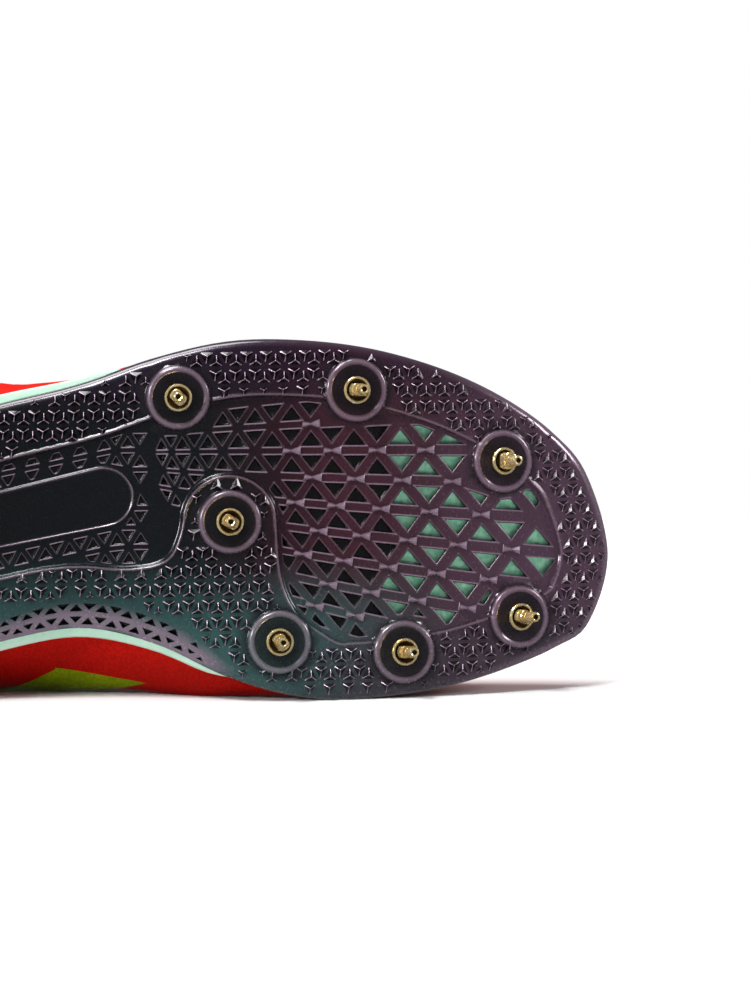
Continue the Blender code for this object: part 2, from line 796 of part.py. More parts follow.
def make_spike(index, x, y, turn):
    """Pin with a threaded stub, a flange, two wrench flats and a tapered point."""
    slope = slope_at(x)
    axis = Vector((slope, 0.0, -1.0)).normalized()
    first = Vector((1.0, 0.0, slope)).normalized()
    second = axis.cross(first)
    seat = Vector((x, y, under(x) - BOSS_HEIGHT))
    rows = (
        # radius, way out of the boss, half distance of the flats
        (2.2, -1.9, 9.0),
        (2.2, 0.25, 9.0),
        (PIN_FLANGE, 0.25, 9.0),
        (PIN_FLANGE, 1.15, 9.0),
        (2.7, 1.45, 1.75),
        (2.7, 4.0, 1.75),
        (2.1, 4.4, 1.75),
        (1.3, PIN_LENGTH - 0.2, 1.75),
        (1.0, PIN_LENGTH, 1.75),
    )
    bm = bmesh.new()
    rings = []
    angle = math.radians(turn)
    u = first * math.cos(angle) + second * math.sin(angle)
    v = second * math.cos(angle) - first * math.sin(angle)
    for radius, out, flat in rows:
        ring = []
        for i in range(10):
            a = 2 * math.pi * (i + 0.5) / 10
            side = max(-flat, min(flat, radius * math.sin(a)))
            ring.append(bm.verts.new(seat + axis * out + u * radius * math.cos(a) + v * side))
        rings.append(ring)
    for a, b in zip(rings, rings[1:]):
        bridge(bm, a, b)
    bm.faces.new(rings[0][::-1])
    bm.faces.new(rings[-1])
    return add_object("spike_%d" % index, "spike", bm)


def mass_centre(objects):
    """Centre of mass of all the solids."""
    total = 0.0
    moment = Vector((0.0, 0.0, 0.0))
    for obj in objects:
        density = DENSITY[obj["look"]]
        verts = obj.data.vertices
        for face in obj.data.polygons:
            a, b, c = (verts[i].co for i in face.vertices)
            volume = a.dot(b.cross(c)) / 6.0 * density
            total += volume
            moment += (a + b + c) / 4.0 * volume
    return moment / total


def lay_down(objects):
    """Turn the shoe onto the flat of its hull on the medial side and scale it to metres."""
    turn = Matrix(((1, 0, 0, 0), (0, 0, 1, 0), (0, 1, 0, 0), (0, 0, 0, 1)))
    for obj in objects:
        obj.data.transform(turn)
        obj.data.flip_normals()
    centre = mass_centre(objects)
    hull = bmesh.new()
    for obj in objects:
        for vertex in obj.data.vertices:
            hull.verts.new(vertex.co)
    made = bmesh.ops.convex_hull(hull, input=hull.verts[:])
    middle = sum((v.co for v in hull.verts), Vector()) / len(hull.verts)
    best = None
    for face in made["geom"]:
        if not isinstance(face, bmesh.types.BMFace):
            continue
        normal = face.normal.copy()
        corners = [v.co for v in face.verts]
        if normal.dot(corners[0] - middle) < 0:
            normal = -normal
        if normal.z > -0.9:
            continue
        spot = centre - normal * (centre - corners[0]).dot(normal)
        margin = 1e9
        for i in range(3):
            a = corners[i]
            b = corners[(i + 1) % 3]
            c = corners[(i + 2) % 3]
            inward = normal.cross(b - a).normalized()
            if inward.dot(c - a) < 0:
                inward = -inward
            margin = min(margin, inward.dot(spot - a))
        if best is None or margin > best[0]:
            best = (margin, normal, [c.copy() for c in corners])
    hull.free()
    margin, normal, corners = best
    up = -normal
    across = up.cross(Vector((1.0, 0.0, 0.0))).normalized()
    forward = across.cross(up)
    rotate = Matrix((forward, across, up)).to_4x4()
    for obj in objects:
        obj.data.transform(rotate)
    low = Vector([min(v.co[k] for o in objects for v in o.data.vertices) for k in range(3)])
    high = Vector([max(v.co[k] for o in objects for v in o.data.vertices) for k in range(3)])
    shift = Matrix.Translation(-Vector(((low.x + high.x) / 2, (low.y + high.y) / 2, low.z)))
    for obj in objects:
        obj.data.transform(Matrix.Scale(0.001, 4) @ shift)


for old in list(bpy.data.objects):
    bpy.data.objects.remove(old)

parts = [make_plate(), make_midsole(), make_insole(), make_upper(), make_tongue()]
for number, way in enumerate((0.46, 0.53, 0.60, 0.67, 0.74), start=1):
    parts.append(make_lace(number, way))
for number, (boss_x, boss_y, boss_turn) in enumerate(BOSSES, start=1):
    parts.append(make_spike(number, boss_x, boss_y, boss_turn))
lay_down(parts)
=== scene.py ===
import functools
import math

import bmesh
import bpy
import numpy as np
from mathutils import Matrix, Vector, geometry


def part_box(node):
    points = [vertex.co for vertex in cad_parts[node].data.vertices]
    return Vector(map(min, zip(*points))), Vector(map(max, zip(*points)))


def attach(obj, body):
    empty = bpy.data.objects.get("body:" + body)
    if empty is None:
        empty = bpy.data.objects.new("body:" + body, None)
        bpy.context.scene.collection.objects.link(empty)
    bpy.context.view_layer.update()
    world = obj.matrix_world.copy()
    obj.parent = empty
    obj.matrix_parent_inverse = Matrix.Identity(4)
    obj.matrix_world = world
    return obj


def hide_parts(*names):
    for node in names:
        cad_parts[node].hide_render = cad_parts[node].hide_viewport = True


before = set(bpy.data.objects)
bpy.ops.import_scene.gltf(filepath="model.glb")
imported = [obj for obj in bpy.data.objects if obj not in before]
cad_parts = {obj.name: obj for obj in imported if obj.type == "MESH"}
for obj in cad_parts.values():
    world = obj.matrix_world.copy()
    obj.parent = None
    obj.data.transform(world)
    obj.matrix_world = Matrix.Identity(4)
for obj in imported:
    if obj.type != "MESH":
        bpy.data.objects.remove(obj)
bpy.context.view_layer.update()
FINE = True

# Shoe sizes in millimetres, as in the part
LENGTH = 289.0
BALL_WIDTH = 97.4
BALL_X = 0.6678 * LENGTH
SPRING_RADIUS = 195.0
PLATE = 2.4
RECESS = 0.8
POCKET = 1.75
GAP = 0.36
ZONE_BAND = 15.6
ARCH_BAND = 1.5
RIB = 2.5
WALL = 1.5
STAY = 0.8
INSOLE = 2.6
BOSS_HEIGHT = 1.5
THROUGH_X = 0.7751 * LENGTH
ROLL = math.radians(4.755)

# Tips of the outline, as shares of BALL_WIDTH to the lateral side
HEEL_TIP = -0.144
TOE_TIP = -0.103

# Edge of the sole: share of LENGTH, lateral and medial edge as shares of BALL_WIDTH
OUTLINE = (
    # along, lateral, medial
    (0.0298, 0.040, -0.330),
    (0.0894, 0.140, -0.432),
    (0.1688, 0.185, -0.466),
    (0.2483, 0.210, -0.448),
    (0.3277, 0.260, -0.395),
    (0.4072, 0.329, -0.329),
    (0.4866, 0.385, -0.290),
    (0.5561, 0.454, -0.336),
    (0.6256, 0.499, -0.434),
    (0.6952, 0.501, -0.490),
    (0.7647, 0.475, -0.492),
    (0.8342, 0.417, -0.466),
    (0.8938, 0.338, -0.419),
    (0.9434, 0.240, -0.364),
    (0.9782, 0.122, -0.298),
)

# Underside behind the ball: share of LENGTH and height over the floor
PROFILE = (
    # along, height
    (0.0000, 1.6),
    (0.0346, 0.3),
    (0.0692, 0.0),
    (0.2077, 0.0),
    (0.3184, 3.6),
    (0.4152, 6.0),
    (0.5017, 4.9),
    (0.5744, 1.9),
    (0.6678, 0.0),
)

# Edge of the plate and foam: share of LENGTH, then millimetres
EDGE = (
    # along, inset medial, inset lateral, overhang medial, overhang lateral, foam band, foam top
    (0.0000, 2.6, 2.6, 2.2, 2.2, 10.0, 19.5),
    (0.2077, 2.6, 2.6, 2.2, 2.2, 9.5, 18.5),
    (0.3287, 4.0, 2.6, 2.2, 2.2, 7.5, 15.0),
    (0.4083, 6.2, 2.6, 2.2, 2.0, 5.5, 12.5),
    (0.4844, 7.8, 2.6, 2.2, 1.3, 4.5, 10.5),
    (0.5536, 7.2, 2.3, 1.6, 0.4, 3.6, 9.5),
    (0.5952, 5.2, 2.3, 1.1, 0.0, 2.6, 9.0),
    (0.6401, 2.6, 2.3, 0.45, 0.0, 1.4, 8.6),
    (0.6650, 2.6, 2.3, 0.0, 0.0, 1.1, 8.6),
    (1.0000, 2.4, 2.3, 0.0, 0.0, 0.8, 8.0),
)

# Centre line of the opening: share of LENGTH and offset to the lateral side
AXIS = (
    # along, offset
    (0.0000, -14.0),
    (0.3460, -12.0),
    (0.6471, -5.0),
    (1.0000, -10.0),
)

# Upper: share of the way along one edge, opening as a share of LENGTH, then millimetres
UPPER = (
    # way, open along, half width, height, out low lateral, out low medial, up low, out high, down high
    (0.00, 0.0208, 0.0, 70.0, 5.0, 5.0, 20.0, 6.0, 20.0),
    (0.07, 0.0346, 15.0, 68.5, 5.0, 4.0, 19.0, 6.0, 20.0),
    (0.15, 0.0934, 24.0, 61.0, 5.0, 1.0, 17.0, 6.0, 17.0),
    (0.24, 0.1799, 27.0, 56.0, 6.0, 0.0, 15.0, 5.5, 14.0),
    (0.33, 0.2664, 26.0, 61.0, 12.0, 6.0, 13.0, 9.0, 17.0),
    (0.40, 0.3287, 22.5, 69.0, 13.0, 18.0, 12.0, 12.0, 20.0),
    (0.50, 0.4083, 18.5, 67.0, 3.5, 28.0, 11.0, 14.0, 18.0),
    (0.60, 0.4949, 14.5, 60.0, 1.0, 18.0, 12.0, 16.0, 11.0),
    (0.70, 0.5709, 11.0, 54.0, 0.5, 0.5, 14.0, 18.0, 6.0),
    (0.80, 0.6159, 8.5, 50.5, 1.0, 2.0, 15.0, 22.0, 2.5),
    (0.90, 0.6367, 5.0, 49.0, 2.0, 2.0, 14.0, 33.0, 0.5),
    (1.00, 0.6436, 0.0, 48.5, 2.0, 2.0, 13.0, 48.0, 0.0),
)

# Bosses: share of LENGTH, side, way in from the sole's edge, turn of the pin's flats in degrees
BOSS_ROWS = (
    # along, side, inward, turn; on side 0 inward is the offset to the lateral side
    (0.5779, 1, 12.5, 45.0),
    (0.7450, 1, 12.2, 5.0),
    (0.8886, 1, 18.0, 90.0),
    (0.9038, -1, 13.0, 20.0),
    (0.7882, -1, 11.6, 0.0),
    (0.6695, -1, 13.7, 60.0),
    (0.6245, 0, -0.1, 30.0),
)

# Land that reaches in to the middle boss, as shares of LENGTH and BALL_WIDTH
LAND_AHEAD = ((0.7128, -0.3131), (0.6851, -0.2464), (0.6723, -0.1437))
LAND_BEHIND = ((0.5744, -0.0606), (0.5640, -0.1027), (0.5432, -0.1211))
LAND_REACH = 12.5
LAND_START = 0.7197
LAND_END = 0.5259

# Fan of windows: first node as a share of LENGTH, steps as shares of LENGTH and BALL_WIDTH
FAN_START = 0.6861
FAN_STEP = 0.03651
FAN_GROWTH = 0.00215
FAN_LEAN = 0.00242
FAN_BOW = 0.000467
FAN_TOP = 0.194
FAN_ROW = 0.07156
FAN_SPREAD = 0.00486
FAN_MIDDLE = 4


def curve(x, rows, column):
    """Smooth value of one column of a table at x."""
    if x <= rows[0][0]:
        return rows[0][column]
    if x >= rows[-1][0]:
        return rows[-1][column]
    i = 0
    while rows[i + 1][0] < x:
        i += 1

    def slope(k):
        if k <= 0 or k >= len(rows) - 1:
            return 0.0
        left = (rows[k][column] - rows[k - 1][column]) / (rows[k][0] - rows[k - 1][0])
        right = (rows[k + 1][column] - rows[k][column]) / (rows[k + 1][0] - rows[k][0])
        return 0.0 if left * right <= 0.0 else 2.0 * left * right / (left + right)

    span = rows[i + 1][0] - rows[i][0]
    t = (x - rows[i][0]) / span
    a, b = rows[i][column], rows[i + 1][column]
    return (a * (1 + 2 * t) * (1 - t) ** 2 + b * t * t * (3 - 2 * t)
            + span * (slope(i) * t * (1 - t) ** 2 - slope(i + 1) * t * t * (1 - t)))


def under(x):
    """Height of the sole's underside over the floor when worn: spring in front of the ball, table behind it."""
    if x > BALL_X:
        run = min(x - BALL_X, SPRING_RADIUS * 0.7)
        return SPRING_RADIUS - math.sqrt(SPRING_RADIUS ** 2 - run ** 2)
    return curve(x / LENGTH, PROFILE, 1)


UNDER_X = np.linspace(-10.0, 300.0, 1241)
UNDER_H = np.array([under(x) for x in UNDER_X])


def under_all(x):
    """Underside's height at many places at once."""
    return np.interp(x, UNDER_X, UNDER_H)


def lerp(a, b, t):
    return a + (b - a) * t


def smooth(t):
    """Soft step from 0 to 1."""
    t = np.clip(t, 0.0, 1.0)
    return t * t * (3 - 2 * t)


def bell(value, width):
    return np.exp(-(value / width) ** 2)


def spline(points, closed, steps):
    """Catmull-Rom curve through points, with steps points for each stretch."""
    count = len(points)
    result = []
    for i in range(count if closed else count - 1):
        if closed:
            p = [points[(i + k) % count] for k in (-1, 0, 1, 2)]
        else:
            p = [points[min(max(i + k, 0), count - 1)] for k in (-1, 0, 1, 2)]
        for j in range(steps):
            t = j / steps
            result.append(0.5 * (2 * p[1] + (p[2] - p[0]) * t + (2 * p[0] - 5 * p[1] + 4 * p[2] - p[3]) * t * t
                                 + (3 * p[1] - p[0] - 3 * p[2] + p[3]) * t ** 3))
    if not closed:
        result.append(points[-1].copy())
    return result


def side_lines():
    """Both edges of the sole from heel to toe, as rows of points; side 1 is lateral and -1 medial."""
    lateral = [Vector((row[0] * LENGTH, row[1] * BALL_WIDTH)) for row in OUTLINE]
    medial = [Vector((row[0] * LENGTH, row[2] * BALL_WIDTH)) for row in OUTLINE]
    heel = Vector((0.0, HEEL_TIP * BALL_WIDTH))
    toe = Vector((LENGTH, TOE_TIP * BALL_WIDTH))
    fine = spline([heel] + lateral + [toe] + medial[::-1], True, 16)
    half = (len(lateral) + 1) * 16
    return {1: np.array(fine[:half + 1]), -1: np.array((fine[half:] + [fine[0]])[::-1])}


LINES = side_lines()
TRAVEL = {}
for edge_side, edge_line in LINES.items():
    edge_steps = np.linalg.norm(np.diff(edge_line, axis=0), axis=1)
    TRAVEL[edge_side] = np.concatenate([[0.0], np.cumsum(edge_steps)])


def edge_at(x, side):
    """Offset of the sole's edge at x."""
    return float(np.interp(x, LINES[side][:, 0], LINES[side][:, 1]))


def boss_centres():
    """Centre and turn of every boss, each set in from the edge that it is nearest to."""
    result = []
    for way, side, inward, turn in BOSS_ROWS:
        x = way * LENGTH
        result.append((x, edge_at(x, side) - side * inward if side else inward, turn))
    return result


BOSSES = boss_centres()
MIDDLE_BOSS = BOSSES[-1]


def along(side, share):
    """Point at a share of the way along one edge, from heel to toe."""
    goal = share * TRAVEL[side][-1]
    return Vector([float(np.interp(goal, TRAVEL[side], LINES[side][:, k])) for k in (0, 1)])


def edge(side, share):
    """Point of an edge and the direction outward from it."""
    point = along(side, share)
    if share < 1e-6:
        return point, Vector((-1.0, 0.0))
    if share > 1.0 - 1e-6:
        return point, Vector((1.0, 0.0))
    tangent = (along(side, min(share + 0.012, 1.0)) - along(side, max(share - 0.012, 0.0))).normalized()
    return point, Vector((-tangent.y, tangent.x)) * side


def edge_value(x, side, column):
    """Value of the EDGE table on one side."""
    return curve(x / LENGTH, EDGE, column if side < 0 else column + 1)


def inset_of(point, side):
    """Width of the plate's rounded or slanted edge."""
    return edge_value(point.x, side, 1)


def rise_of(point, side):
    """Height of the plate's edge over its underside."""
    return 3.4 + 0.75 * (inset_of(point, side) - 2.6)


def shelf_of(point, side):
    """1 where the foam stands out over the plate's edge, 0 where it doesn't."""
    return min(1.0, edge_value(point.x, side, 3))


def band_of(point, side):
    """Height of the foam that shows."""
    return curve(point.x / LENGTH, EDGE, 5)


def foam_top(x):
    return curve(x / LENGTH, EDGE, 6)


def make_ring(steps):
    """Points round the sole's edge as side, share, point and direction outward; closer at heel and toe."""
    def share(i):
        t = i / steps
        return 0.55 * t + 0.45 * (0.5 - 0.5 * math.cos(math.pi * t))
    pairs = [(1, share(i)) for i in range(steps + 1)] + [(-1, share(i)) for i in range(steps - 1, 0, -1)]
    return [(s, u) + edge(s, u) for s, u in pairs]


SIDE = 120 if FINE else 60
RING = make_ring(SIDE)
COUNT = len(RING)


def offset_ring(amount, height, ring=None):
    """Ring moved outward by amount and set at a height over the underside."""
    rows = []
    for side, _, point, out in ring or RING:
        spot = point + out * amount(point, side)
        rows.append((spot.x, spot.y, under(spot.x) + height(point, side)))
    return np.array(rows)


# Placing in the row frame
def rolled(p):
    """Points of the worn shoe in millimetres, laid on its medial side, in metres."""
    p = np.asarray(p, dtype=float).reshape(-1, 3)
    c, s = math.cos(ROLL), math.sin(ROLL)
    return np.stack([p[:, 0], p[:, 1] * s + p[:, 2] * c, p[:, 1] * c - p[:, 2] * s], axis=1) * 0.001


def find_shift():
    """Shift that puts the laid shoe where the frame has its plate."""
    coarse = make_ring(34)
    outer = rolled(offset_ring(lambda p, s: 0.0, rise_of, coarse))
    inner = rolled(offset_ring(lambda p, s: -1.4, lambda p, s: rise_of(p, s) + 0.1, coarse))
    both = np.concatenate([outer, inner])
    _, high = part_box("outsole_plate")
    return np.array([high[k] - both[:, k].max() for k in range(3)])


SHIFT = find_shift()


def place(p):
    """Points of the shoe in the frame's metres."""
    return rolled(p) + SHIFT


# Meshes
def mesh_object(name, verts, faces, material, smooth_angle=35.0, values=None):
    """Object from points in shoe millimetres, riding on the shoe, with optional values on its points."""
    data = bpy.data.meshes.new(name)
    data.from_pydata(place(verts).tolist(), [], [tuple(f) for f in faces])
    data.update()
    for key, numbers in (values or {}).items():
        layer = data.attributes.new(key, "FLOAT", "POINT")
        layer.data.foreach_set("value", np.asarray(numbers, dtype=np.float32))
    obj = bpy.data.objects.new(name, data)
    bpy.context.scene.collection.objects.link(obj)
    data.materials.append(material)
    bm = bmesh.new()
    bm.from_mesh(data)
    bmesh.ops.recalc_face_normals(bm, faces=bm.faces[:])
    bm.to_mesh(data)
    bm.free()
    data.polygons.foreach_set("use_smooth", [True] * len(data.polygons))
    data.set_sharp_from_angle(angle=math.radians(smooth_angle))
    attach(obj, "root")
    return obj


def soften(obj):
    """Normals weighted by area: broad faces stay flat and narrow ones turn between them."""
    data = obj.data
    count = len(data.vertices)
    total = np.zeros((count, 3))
    for face in data.polygons:
        total[list(face.vertices)] += np.array(face.normal) * face.area
    total /= np.maximum(np.linalg.norm(total, axis=1), 1e-12)[:, None]
    data.polygons.foreach_set("use_smooth", [True] * len(data.polygons))
    data.normals_split_custom_set_from_vertices([tuple(n) for n in total])


def ring_faces(first, second, count=None):
    """Quads between two rings that start at the given indices."""
    count = count or COUNT
    return [(first + i, first + (i + 1) % count, second + (i + 1) % count, second + i) for i in range(count)]


def fill_rows(verts, faces, start, columns, height):
    """Close a ring that starts at index start by rows across the shoe."""
    last = SIDE
    rows = []
    for j in range(1, last):
        left, right = start + j, start + COUNT - j
        row = [left]
        for c in range(1, columns):
            t = c / columns
            x = lerp(verts[left][0], verts[right][0], t)
            w = lerp(verts[left][1], verts[right][1], t)
            verts.append((x, w, height(x, w)))
            row.append(len(verts) - 1)
        rows.append(row + [right])
    for a, b in zip(rows, rows[1:]):
        for c in range(columns):
            faces.append((a[c], a[c + 1], b[c + 1], b[c]))
    for c in range(columns):
        faces.append((start, rows[0][c], rows[0][c + 1]))
        faces.append((start + last, rows[-1][c + 1], rows[-1][c]))


# Materials
class Graph:
    """One material and its nodes. Each helper returns the output socket of the node that it adds."""

    def __init__(self, name, colour, rough, metal=0.0, coat=0.0, coat_rough=0.1):
        self.material = bpy.data.materials.new(name)
        self.material.use_nodes = True
        self.nodes = self.material.node_tree.nodes
        self.shader = self.nodes["Principled BSDF"]
        self.where = self.add("ShaderNodeTexCoord").outputs["Object"]
        for key, value in (("Base Color", colour), ("Roughness", rough), ("Metallic", metal),
                           ("Coat Weight", coat), ("Coat Roughness", coat_rough)):
            self.shade(key, value)

    def feed(self, socket, value):
        """Give a socket a number, a colour or another socket's value."""
        if isinstance(value, bpy.types.NodeSocket):
            self.material.node_tree.links.new(value, socket)
        else:
            socket.default_value = (*value, 1.0) if isinstance(value, tuple) else value

    def shade(self, key, value):
        self.feed(self.shader.inputs[key], value)

    def add(self, kind, inputs=(), **settings):
        made = self.nodes.new(kind)
        for key, value in settings.items():
            setattr(made, key, value)
        for key, value in inputs:
            self.feed(made.inputs[key], value)
        return made

    def noise(self, scale, detail=3.0):
        return self.add("ShaderNodeTexNoise", (
            ("Scale", scale), ("Detail", detail), ("Vector", self.where))).outputs["Fac"]

    def cells(self, scale):
        return self.add("ShaderNodeTexVoronoi", (("Scale", scale), ("Vector", self.where))).outputs["Distance"]

    def axes(self):
        return self.add("ShaderNodeSeparateXYZ", ((0, self.where),)).outputs

    def attribute(self, name):
        return self.add("ShaderNodeAttribute", attribute_name=name).outputs["Fac"]

    def ramp(self, value, stops):
        made = self.add("ShaderNodeValToRGB", (("Fac", value),))
        elements = made.color_ramp.elements
        for element, (position, colour) in zip(elements, (stops[0], stops[-1])):
            element.position = position
            element.color = (*colour, 1.0)
        for position, colour in stops[1:-1]:
            elements.new(position).color = (*colour, 1.0)
        return made.outputs["Color"]

    def mix(self, factor, first, second):
        return self.add("ShaderNodeMix", ((0, factor), (6, first), (7, second)), data_type="RGBA").outputs[2]

    def maths(self, operation, first, second):
        return self.add("ShaderNodeMath", ((0, first), (1, second)), operation=operation).outputs[0]

    def spread(self, value, low, high, to_low=0.0, to_high=1.0):
        return self.add("ShaderNodeMapRange", (
            ("Value", value), ("From Min", low), ("From Max", high), ("To Min", to_low), ("To Max", to_high),
        ), interpolation_type="SMOOTHSTEP").outputs["Result"]

    def bump(self, height, strength, distance):
        made = self.add("ShaderNodeBump", (
            ("Strength", strength), ("Distance", distance), ("Height", height)))
        self.shade("Normal", made.outputs["Normal"])


def faded(colour, share):
    """Colour taken down to a share of its brightness."""
    return tuple(c * share for c in colour)


def plate_material():
    """Near-black pearlescent plate: slate behind, maroon in the fan, mauve at the toe, darker purple toward the
    top; painted floor reflection in teal and grey-mauve along the medial side; painted highlight (rim) and
    painted shade (deep).
    """
    g = Graph("plate_pearl", (0.01, 0.012, 0.015), 0.26, metal=0.35, coat=0.5)
    along_x, _, up_z = g.axes()
    shifted = g.maths("ADD", along_x, g.maths("MULTIPLY", g.noise(28.0, 2.0), 0.03))
    base = g.ramp(g.spread(shifted, -0.03, 0.15), [
        (0.0, (0.002, 0.003, 0.0045)), (0.38, (0.003, 0.0045, 0.0065)), (0.56, (0.024, 0.005, 0.010)),
        (0.72, (0.052, 0.013, 0.023)), (0.84, (0.058, 0.024, 0.037)), (1.0, (0.090, 0.046, 0.076))])
    # Painted floor reflection: teal sheen on the medial side near the floor, toward the back
    teal = g.maths("MULTIPLY", g.spread(up_z, 0.042, 0.014), g.spread(along_x, 0.105, 0.060))
    base = g.mix(teal, base, (0.033, 0.090, 0.088))
    # Painted floor reflection: lighter grey-mauve on the medial side near the floor, toward the front
    low = g.maths("MULTIPLY", g.spread(up_z, 0.030, 0.008), g.spread(along_x, 0.045, 0.075))
    base = g.mix(g.maths("MULTIPLY", low, 0.7), base, (0.060, 0.048, 0.062))
    high = g.maths("MULTIPLY", g.spread(up_z, 0.074, 0.094), 0.6)
    base = g.mix(high, base, (0.020, 0.008, 0.026))
    # Painted highlight: the rim value lifts the colour to a light mauve on raised lines, ridges and edges
    base = g.mix(g.attribute("rim"), base, (0.30, 0.21, 0.28))
    # Painted shade: the deep value takes the colour to near-black in hollows and on the studs' broad faces
    g.shade("Base Color", g.mix(g.attribute("deep"), base, (0.003, 0.002, 0.003)))
    fine = g.noise(900.0, 2.0)
    g.shade("Roughness", g.spread(fine, 0.3, 0.7, 0.22, 0.28))
    g.bump(fine, 0.02, 0.0001)
    return g.material


def foam_material():
    """Mint foam, deeper in colour where the plate shades it."""
    g = Graph("foam_mint", (0.42, 0.74, 0.60), 0.62)
    base = g.ramp(g.noise(60.0), [(0.3, (0.37, 0.55, 0.43)), (0.7, (0.45, 0.62, 0.51))])
    # Painted shade: the colour of the foam under the plate
    inside = g.ramp(g.noise(700.0, 2.0), [(0.35, (0.20, 0.56, 0.35)), (0.65, (0.36, 0.74, 0.52))])
    g.shade("Base Color", g.mix(g.attribute("shade"), base, inside))
    g.bump(g.cells(900.0), 0.25, 0.0003)
    return g.material


def knit_material(name, dark, light, rough=0.55, scale=1.0, sheen=0.2, coat=0.0, specular=0.12):
    """Fine knit or coated cloth, with painted shade that darkens it toward the floor."""
    g = Graph(name, light, rough, coat=coat, coat_rough=0.25)
    cells = g.cells(1300.0 * scale)
    base = g.ramp(g.noise(22.0), [(0.3, dark), (0.7, light)])
    base = g.mix(g.spread(cells, 0.2, 0.7, 0.0, 0.5), base, faded(dark, 0.5))
    # Painted shade: darker near the floor
    low = g.maths("MULTIPLY", g.spread(g.axes()[2], 0.034, 0.002), 0.62)
    g.shade("Base Color", g.mix(low, base, faded(dark, 0.12)))
    g.shade("Specular IOR Level", specular)
    g.shade("Sheen Weight", sheen)
    g.shade("Sheen Roughness", 0.5)
    g.bump(cells, 0.4, 0.0003)
    return g.material


def tape_material(name, colour):
    """Flat woven tape."""
    g = Graph(name, colour, 0.75)
    weave = g.add("ShaderNodeTexWave", (("Scale", 700.0), ("Vector", g.where)), bands_direction="DIAGONAL")
    g.shade("Base Color", g.ramp(g.noise(80.0), [(0.3, faded(colour, 0.8)), (0.7, colour)]))
    g.bump(weave.outputs["Fac"], 0.35, 0.0003)
    return g.material


def metal_material(name, dark, light):
    """Turned metal with faint marks of the tool."""
    g = Graph(name, light, 0.24, metal=0.8)
    g.shade("Base Color", g.ramp(g.noise(150.0), [(0.3, dark), (0.7, light)]))
    marks = g.noise(800.0)
    g.shade("Roughness", g.spread(marks, 0.3, 0.7, 0.14, 0.22))
    g.bump(marks, 0.02, 0.00005)
    return g.material


PEARL = plate_material()
FOAM = foam_material()
RED = knit_material("upper_red", (0.56, 0.004, 0.001), (0.72, 0.008, 0.002), rough=0.6, sheen=0.0, specular=0.05)
RED_STAY = knit_material("stay_red", (0.40, 0.003, 0.002), (0.52, 0.005, 0.003), rough=0.35, scale=0.4, sheen=0.0,
                         coat=0.3)
LINING = knit_material("lining_dark", (0.05, 0.05, 0.055), (0.09, 0.09, 0.10), rough=0.85, scale=0.8, sheen=0.3)
TONGUE = knit_material("tongue_red", (0.40, 0.008, 0.006), (0.52, 0.012, 0.01), rough=0.8, scale=0.7, sheen=0.4)
VOLT = knit_material("accent_volt", (0.28, 0.38, 0.0), (0.36, 0.46, 0.005), rough=0.5, scale=0.7, sheen=0.0,
                     specular=0.05)
THREAD = knit_material("thread_red", (0.30, 0.002, 0.001), (0.42, 0.004, 0.002), rough=0.6, scale=2.0)
# Painted shade: the near-black discs of the pinholes stand in for openings
HOLE = knit_material("pinhole_dark", (0.05, 0.001, 0.001), (0.09, 0.002, 0.002), rough=0.9)
TAPE = tape_material("lace_tape", (0.62, 0.62, 0.58))
BRASS = metal_material("pin_brass", (0.90, 0.66, 0.28), (1.0, 0.84, 0.48))
# Painted shade: a dark brass for the groove and bore faces of the pins
BRASS_SHADE = metal_material("pin_groove", (0.045, 0.025, 0.008), (0.12, 0.07, 0.02))
METAL = metal_material("eyelet_metal", (0.20, 0.20, 0.21), (0.34, 0.34, 0.35))

# Plate: distances and heights
OUT = np.array([(p.x, p.y) for s, u, p, o in RING])
OUT_DIR = np.array([(o.x, o.y) for s, u, p, o in RING])
OUT_INSET = np.array([inset_of(p, s) for s, u, p, o in RING])
OUT_RISE = np.array([rise_of(p, s) for s, u, p, o in RING])


def zone_polygon():
    """Border of the recessed middle zone, with the land that reaches in to the middle boss."""
    result = []
    centre = np.array(MIDDLE_BOSS[:2])
    notch = [(a * LENGTH, b * BALL_WIDTH) for a, b in LAND_AHEAD]
    for degrees in range(0, 181, 9):
        a = math.radians(degrees)
        notch.append(tuple(centre + (LAND_REACH + 0.4) * np.array((math.cos(a), math.sin(a)))))
    notch += [(a * LENGTH, b * BALL_WIDTH) for a, b in LAND_BEHIND]
    placed = False
    for side, _, point, out in RING:
        arch = side < 0 and point.x < MIDDLE_BOSS[0]
        spot = point - out * (ZONE_BAND + (ARCH_BAND if arch else 0.0))
        if side > 0 or spot.x > LAND_START * LENGTH or spot.x < LAND_END * LENGTH:
            if not result or (Vector(result[-1]) - spot).length > 1.0:
                result.append((spot.x, spot.y))
        elif not placed:
            result += notch
            placed = True
    smoothed = spline([Vector(p) for p in result], True, 3)
    return np.array([tuple(p) for p in smoothed])


ZONE = zone_polygon()
# Smooth middle panel of the waist, a plain long oval: back and front centre, radius in front, less at the back
PANEL = (np.array((40.0, -15.5)), np.array((147.0, 7.0)), 7.5)
PANEL_TAPER = 2.5


def segment_distance(points, polygon):
    """Distance to a closed line, and the place along it as index and share."""
    a = polygon
    b = np.roll(polygon, -1, axis=0)
    best = np.full(len(points), 1e9)
    index = np.zeros(len(points), dtype=int)
    where = np.zeros(len(points))
    for start in range(0, len(points), 4000):
        p = points[start:start + 4000][:, None, :]
        d = (b - a)[None]
        t = np.clip(((p - a[None]) * d).sum(2) / np.maximum((d * d).sum(2), 1e-12), 0.0, 1.0)
        dist = np.linalg.norm(p - (a[None] + d * t[..., None]), axis=2)
        k = dist.argmin(1)
        rows = np.arange(len(k))
        best[start:start + 4000] = dist[rows, k]
        index[start:start + 4000] = k
        where[start:start + 4000] = t[rows, k]
    return best, index, where


